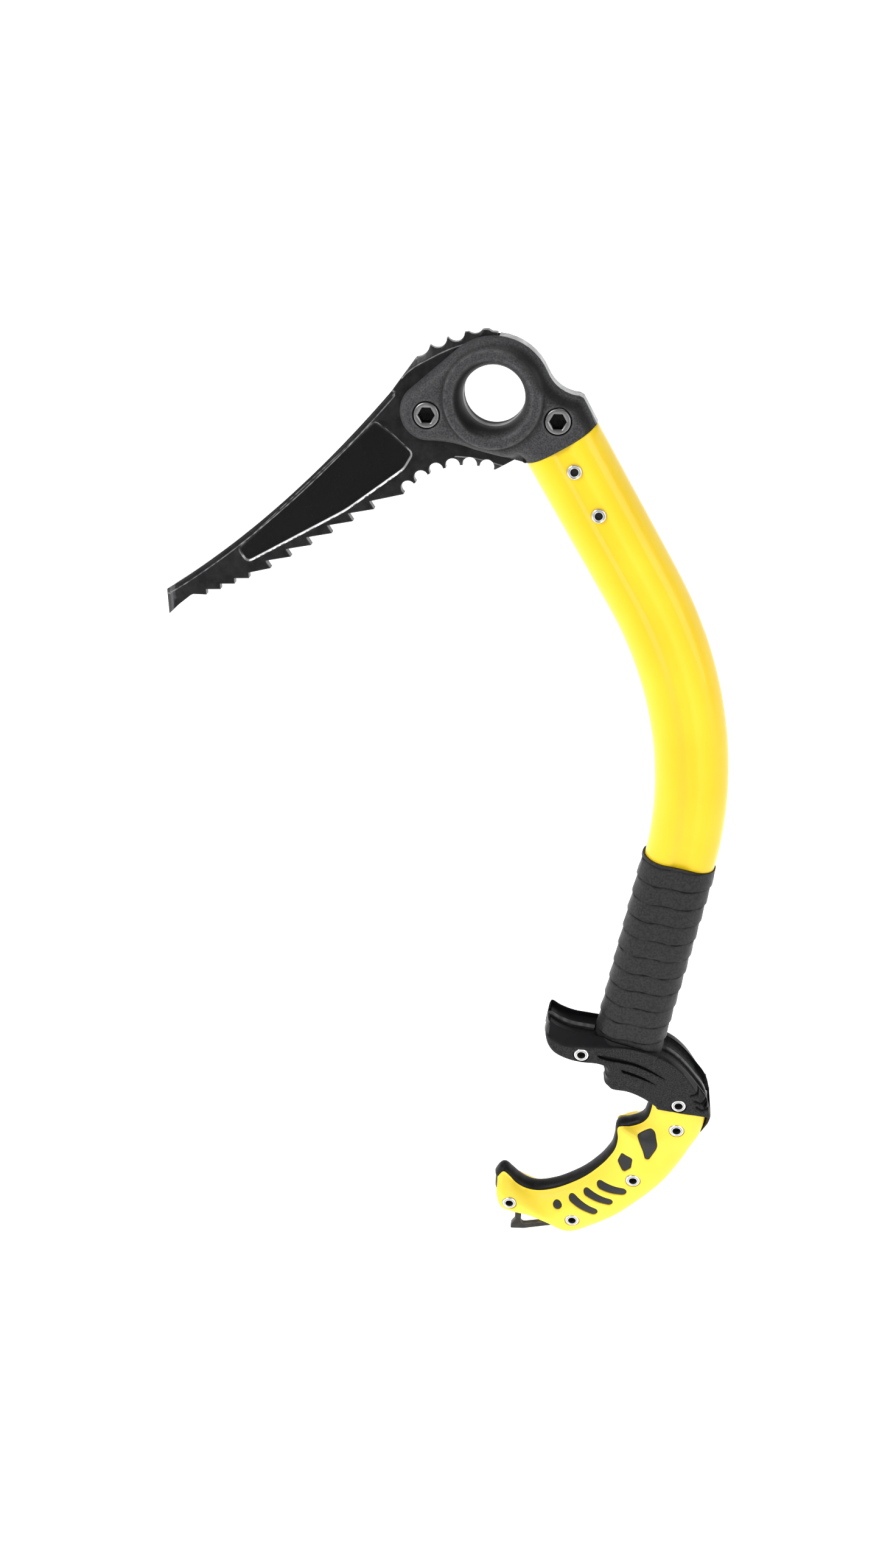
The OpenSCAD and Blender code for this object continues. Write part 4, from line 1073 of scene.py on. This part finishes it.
def upper_shells():
    f, b, t = UPPER_LINES
    for v in STEP_RIDGES:
        f = f - np.array([1.0, 0]) * (1.3 * hump(f[:, 1] - v, 1.3) * (f[:, 0] < -2))[:, None]
    outline = loop_of(chain(f, b[::-1]), 0.5)
    guides = [(dense(CREASE, 0.9, False), False)] + eyelet_guides(UPPER_EYELETS)
    guides += insets(outline, (0.05, 0.2, 0.45, 0.8, 1.3, 2.0, 3.0))
    cuts = [loop_of(smooth(g + g[:1], 4)[:-1], 0.7) for g in GROOVES]
    for g in cuts:
        guides += [(g, True)] + insets(g, (0.2, 0.45, 0.8))
    bars = [dense(smooth(r, 5), 0.6, False) for r in RIBS]
    for r in bars:
        guides += [(beside(r, d), False) for d in (-0.8, -0.4, 0, 0.4, 0.8)]
    away = -left_of(unit_rows(np.diff(b, axis=0)))
    for d in (TROUGH_D - 0.06, TROUGH_D + 0.06):
        guides.append((dense(b[1:] + d * away, 0.8, False), False))
    flat, tris = triangulate(outline, eyelet_holes(UPPER_EYELETS, 0.1), guides, 1.2)
    place = (nearest(flat, f)[1] + nearest(flat, b)[1]) / 2
    full = HORN_Y * np.interp(place, np.linspace(0, 1, len(t)), t)
    top, low = distance(flat, b), distance(flat, chain(b[:1], f))
    seam = distance(flat, np.array([f[-1], b[-1]]))
    # A facet falls from the crease to the top edge, and the other edges are rounded
    crease = distance(flat, CREASE)
    above = inside(flat, chain(CREASE, [(60, 40), (-60, 40)]))
    fall = np.clip(top / np.maximum(top + crease, 1e-6), 0, 1) ** 0.9
    h = np.where(above, FACET_Y + (full - FACET_Y) * fall, full)
    h = np.minimum(h, TROUGH_Y + 0.4 + (full - TROUGH_Y - 0.4) * bulge(top, 0.6, 2.0))
    h = np.minimum(h, FRAME_Y + 1 + (full - FRAME_Y - 1) * bulge(low, 2.6, 2.2))
    h = np.minimum(h, full - 0.5 + 0.5 * bulge(seam, 0.6, 2.0))
    grain = np.where(above, 0.0, step(0.1, 0.8, crease)) * step(0.2, 1.0, low)
    for g in cuts:
        grain = np.where(inside(flat, g), 0.0, grain)
    grooves = [np.clip(depth_in(flat, g) / GROOVE_WALL, 0, 1) for g in cuts]
    ribs = [hump(distance(flat, r), RIB_W) for r in bars]
    for cut in grooves:
        h -= GROOVE_DEEP * cut
    for cut in ribs:
        h -= RIB_DEEP * cut
    # Painted shade in the grooves and the rib hollows
    deep = np.max(grooves + ribs, axis=0)
    h = eyelet_seat(flat, h, UPPER_EYELETS, HORN_Y)
    # Hollow over the trough and the taped shaft
    inner = np.where(top < TROUGH_D, TROUGH_Y, FRAME_Y + 0.05)
    taped = (np.abs(flat[:, 0]) < SHAFT_W / 2 + TAPE_ROOM) & (flat[:, 1] > -SOCKET_LEN)
    inner = np.where(taped, np.maximum(inner, lobe_height(flat[:, 0], TAPE_ROOM)), inner)
    inner = np.where(low < 1.2, FRAME_Y + 0.05, inner)
    h = np.maximum(h, inner + LEAST_WALL)
    # The tongue that laps over the lower shell's back
    lap = loop_of(smooth(TONGUE + TONGUE[:1], 6)[:-1], 0.5)
    lap_flat, lap_tris = triangulate(lap, [], insets(lap, (0.15, 0.4)), 0.8)
    lap_h = (HORN_Y - 1.0) * np.interp(lap_flat[:, 1], [-53, -46, -38, -30], [0.3, 0.6, 0.9, 1.05])
    lap_h = np.maximum(lap_h - 0.8 * (1 - bulge(distance(lap_flat, lap, True), 0.5, 2.0)), FRAME_Y)
    part = at_grip(joined(solid(flat, tris, -h, -inner), solid(lap_flat, lap_tris, -lap_h, -0.05)))
    plain = np.zeros(2 * len(lap_flat))
    shells("upper_shell", part, HORN, "black_shell",
           grain=chain(grain, grain, plain), deep=chain(deep, deep, plain))


def lower_shells():
    f, b, *_ = LOWER_LINES
    outline = loop_of(chain(f, b[::-1]), 0.8)
    windows = [loop_of(w, 0.6, False) for w in WINDOWS]
    guides = eyelet_guides(LOWER_EYELETS) + insets(outline, (0.04, 0.15, 0.4, 0.8, 1.4, 2.2, 3.3))
    for w in windows:
        guides += insets(w, (0.25, 0.6, 1.2))
    flat, tris = triangulate(outline, windows + eyelet_holes(LOWER_EYELETS, 0.1), guides, 1.3)
    h = dome(flat)
    back = distance(flat, b)
    inner = LINER_Y + 0.1 - (LINER_Y + 0.1 - FRAME_Y) * step(4.2, 3.6, back)
    # Soft facets along the back, below the middle rivet
    zone = step(13, 7, back) * step(-70, -84, flat[:, 1]) * step(0.8, 2.5, back)
    h -= 0.28 * zone * np.clip(np.abs(clouds(flat, 7.0, 2.0)) * 2 - 0.5, 0, 1)
    for w in windows:
        h -= 0.35 * np.clip(1 - distance(flat, w, True) / 0.8, 0, 1) ** 2
    h = eyelet_seat(flat, h, LOWER_EYELETS, GRIP_Y)
    h = np.maximum(h, inner + 0.2)
    shells("lower_shell", at_grip(solid(flat, tris, -h, -inner)), YELLOW, "yellow_shell")


LINER_DEEP, TIP_PROUD, BACK_PROUD = 3.7, 1.3, 0.3


def liner():
    f, b, _, proud = LOWER_LINES
    rim = f - LINER_PROUD * proud[:, None] * left_of(unit_rows(np.gradient(f, axis=0)))
    close = b[-1] - f[-1]
    out = unit(-left_of(close))
    end = [f[-1] + k * close + TIP_PROUD * out for k in (0.15, 0.5, 0.85)] + [b[-1] + BACK_PROUD * out]
    inner = f + LINER_DEEP * unit_rows(b - f)
    outer = chain(rim, end)
    band = loop_of(chain(outer, inner[::-1]), 0.8)
    flat, tris = triangulate(band, [], insets(band, (0.05, 0.2, 0.45, 0.8, 1.3, 2.0, 2.6)), 1.4)
    h = 0.3 + (LINER_Y - 0.3) * bulge(distance(flat, outer), LINER_PROUD + RIM_LAP, 2.0)
    parts = [solid(flat, tris, -h, h)]
    for w in WINDOWS:
        pad = loop_of(w, 0.6)
        flat, tris = triangulate(pad, [], insets(pad, (0.3, 0.7, 1.3)), 1.0)
        h = dome(flat) - PAD_SINK - 0.5 * (1 - bulge(distance(flat, pad, True), 1.0, 2.0))
        front = solid(flat, tris, -h, -LINER_Y)
        parts += [front, mirrored(front)]
    part = at_grip(joined(*parts))
    piece("grip_liner_rubber", part, LINER, "liner_rubber", ["grip_liner"], crease=50,
          pad=np.arange(len(part[0])) >= len(parts[0][0]))


EYE = [(-36, -124, 1), (-34.9, -137, 4), (-34, -142.6, 2), (-35.6, -146.4, 0.8), (-35.2, -150.1, 0.7),
       (-27.6, -148.2, 6), (-9, -139.4, 2), (-8, -126, 1)]
EYE_HOLE = [(-32.2, -128, 1), (-31.1, -138, 3), (-30.2, -145.3, 2), (-13.6, -138.0, 1), (-12, -128, 1)]
PLATE_Y, PLATE_EDGE, TANG_LEN, TANG_SIDES = 1.35, 0.3, 48.0, 60
# How far the plate's edges lie inside the shells; where the back shows, it stands proud
FINGER_LAP, TOP_LAP, BACK_LAP, BACK_SHOWN = (1.5, 4.0), 1.1, 0.6, -1.0


def plate(outline, holes, gap):
    """A flat plate with its edges broken, and how far they are worn."""
    loops = [outline] + holes
    guides = [g for loop in loops for g in insets(loop, (0.06, PLATE_EDGE, 2 * PLATE_EDGE))]
    flat, tris = triangulate(outline, holes, guides, gap)
    edge = np.min([distance(flat, loop, True) for loop in loops], axis=0)
    h = PLATE_Y - PLATE_EDGE * np.clip(1 - edge / PLATE_EDGE, 0, 1)
    worn = 0.13 * (np.abs(edge - PLATE_EDGE / 2) < PLATE_EDGE * 0.6) * patches(flat, 0.6, 3.0, 4.0)
    return solid(flat, tris, -h, h), chain(worn, worn)


def handle_frame():
    (uf, ub, _), (lf, lb, *_) = UPPER_LINES, LOWER_LINES
    finger = chain(uf + FINGER_LAP[0] * unit_rows(ub - uf), (lf + FINGER_LAP[1] * unit_rows(lb - lf))[3:])
    lap = BACK_LAP + (BACK_SHOWN - BACK_LAP) * step(-84, -74, lb[:, 1])
    back = chain(ub + TOP_LAP * unit_rows(uf - ub), (lb + lap[:, None] * unit_rows(lf - lb))[3:])
    # Cut away round the end of the shaft
    x, z = SHAFT_W / 2 + 1.4, -SOCKET_LEN - FIT
    left, right = back[:np.argmax(back[:, 0] > -x)], back[np.argmax(back[:, 0] > x) + 1:]
    cut = [(x, right[0][1]), (x, z), (-x, z), (-x, left[-1][1])]
    outline = loop_of(chain(finger, right[::-1], cut, left[::-1]), 0.9)
    web, web_worn = plate(outline, eyelet_holes(UPPER_EYELETS + LOWER_EYELETS, FIT), 2.4)
    eye, eye_worn = plate(loop_of(rounded(EYE), 0.7), [loop_of(rounded(EYE_HOLE), 0.7, False)], 1.2)
    bone = section(TANG_SIDES, -WALL - FIT)
    tang = tube([np.column_stack([bone, np.full(TANG_SIDES, v)])
                 for v in (-SOCKET_LEN, TANG_LEN - 1, TANG_LEN)])
    piece("handle_frame_cut", at_grip(joined(web, eye, tang)), FRAME, "frame_alloy", ["handle_frame"],
          crease=35, worn=chain(web_worn, eye_worn, np.zeros(len(tang[0]))))


def keep(node, material, width):
    """A CAD solid that stays, with its edges broken and a material of its own."""
    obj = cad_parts[node]
    obj.data.materials.clear()
    obj.data.materials.append(material)
    bevel = obj.modifiers.new("edges", "BEVEL")
    bevel.width = width * MM
    bevel.segments = 2
    bevel.limit_method = "ANGLE"
    bevel.angle_limit = math.radians(35)
    bevel.harden_normals = False


shaft_tube()
grip_tape()
cheek(False)
cheek(True)
pick()
bolt("pick_bolt", PICK_BOLT)
bolt("shaft_bolt", SHAFT_BOLT)
seat_y = FLOOR_C[1] - math.sqrt(GROOVE_R ** 2 - SHAFT_EYELET_FLANGE ** 2) + FIT / 2
rivets("shaft_rivets", [eyelet(SEAM + s * SHAFT_DIR, seat_y, SHAFT_EYELET_R, SHAFT_EYELET_FLANGE,
                               SHAFT_EYELET_BORE, deep=1.1) for s in (12.0, 33.5)])
for name, half, places in (("upper_grip_rivets", HORN_Y, UPPER_EYELETS),
                           ("lower_grip_rivets", GRIP_Y, LOWER_EYELETS)):
    rivets(name, [at_grip(eyelet(c, half * share - EYELET_RIM)) for c, share in places])
upper_shells()
lower_shells()
liner()
handle_frame()
keep("head_spacer", BARE, 0.35)
keep("pick_nut", GUNMETAL, 0.3)
keep("shaft_nut", GUNMETAL, 0.3)
keep("tang_pins", PIN, 0.3)

# Camera, light and floor, in metres
LENS, SENSOR = 32.70, 36.0
CAMERA_RIGHT, CAMERA_UP = (0.99191, 0.12696, 0), (-0.06107, 0.47710, 0.87673)
CAMERA_BACK, CAMERA_AT = (0.11131, -0.86963, 0.48099), (0.05348, -0.5933, 0.14209)
FLOOR_GAP, FLOOR_SIDES = 0.0005, 72
FLOOR_PROFILE = [(0.0001, 0), (1.0, 0), (1.6, 0.02), (2.2, 0.16), (2.7, 0.5), (3.0, 1.0), (3.1, 1.6)]
# The floor glows less towards the camera, so that the tool's faces have something dark to reflect
FAINT, FAINT_Y, BRIGHT, BRIGHT_Y = 0.12, -0.6, 0.85, -0.2

camera = shown("camera", bpy.data.cameras.new("camera"))
camera.data.sensor_fit = "VERTICAL"
camera.data.sensor_height = SENSOR
camera.data.lens = LENS
camera.data.clip_start = 0.01
camera.matrix_world = Matrix(((*CAMERA_RIGHT, 0), (*CAMERA_UP, 0), (*CAMERA_BACK, 0),
                              (*CAMERA_AT, 1))).transposed()
bpy.context.scene.camera = camera


def lamp(name, place, aim, size, power):
    data = bpy.data.lights.new(name, "AREA")
    data.shape = "RECTANGLE"
    data.size, data.size_y = size
    data.energy = power
    obj = shown(name, data)
    obj.location = place
    obj.rotation_euler = (Vector(aim) - Vector(place)).to_track_quat("-Z", "Y").to_euler()


lamp("key", (-0.9, -0.75, 0.75), (0.0, 0, -0.2), (0.7, 0.7), 14.0)
lamp("fill", (0.9, -1.0, 0.1), (0.05, 0, -0.25), (0.7, 1.1), 5.0)
lamp("top", (0.0, 0.35, 1.1), (0.05, 0, -0.2), (1.2, 0.6), 4.0)

world = bpy.data.worlds.new("studio")
world.use_nodes = True
sky = world.node_tree.nodes["Background"].inputs
sky["Color"].default_value = (1, 1, 1, 1)
sky["Strength"].default_value = 0.18
bpy.context.scene.world = world
bpy.context.scene.view_settings.view_transform = "Standard"


def floor():
    k = Look("floor_paper", specular=0.1)
    k.colour(k.mixed(k.noisy(0, 1, 3), grey(0.9), grey(0.93)))
    k.rough(k.noisy(0.85, 0.95, 40))
    k.shader["Emission Color"].default_value = (1, 1, 1, 1)
    k.feed("Emission Strength", k.spread(k.along("Y"), FAINT, BRIGHT, FAINT_Y, BRIGHT_Y))
    z = cad_box[0][2] - FLOOR_GAP
    rings = [np.column_stack([circle((0, 0), r, FLOOR_SIDES), np.full(FLOOR_SIDES, z + h)])
             for r, h in FLOOR_PROFILE]
    verts, faces = tube(rings, caps=False)
    obj = shown("floor", mesh_of("floor", verts, faces, k.material))


floor()
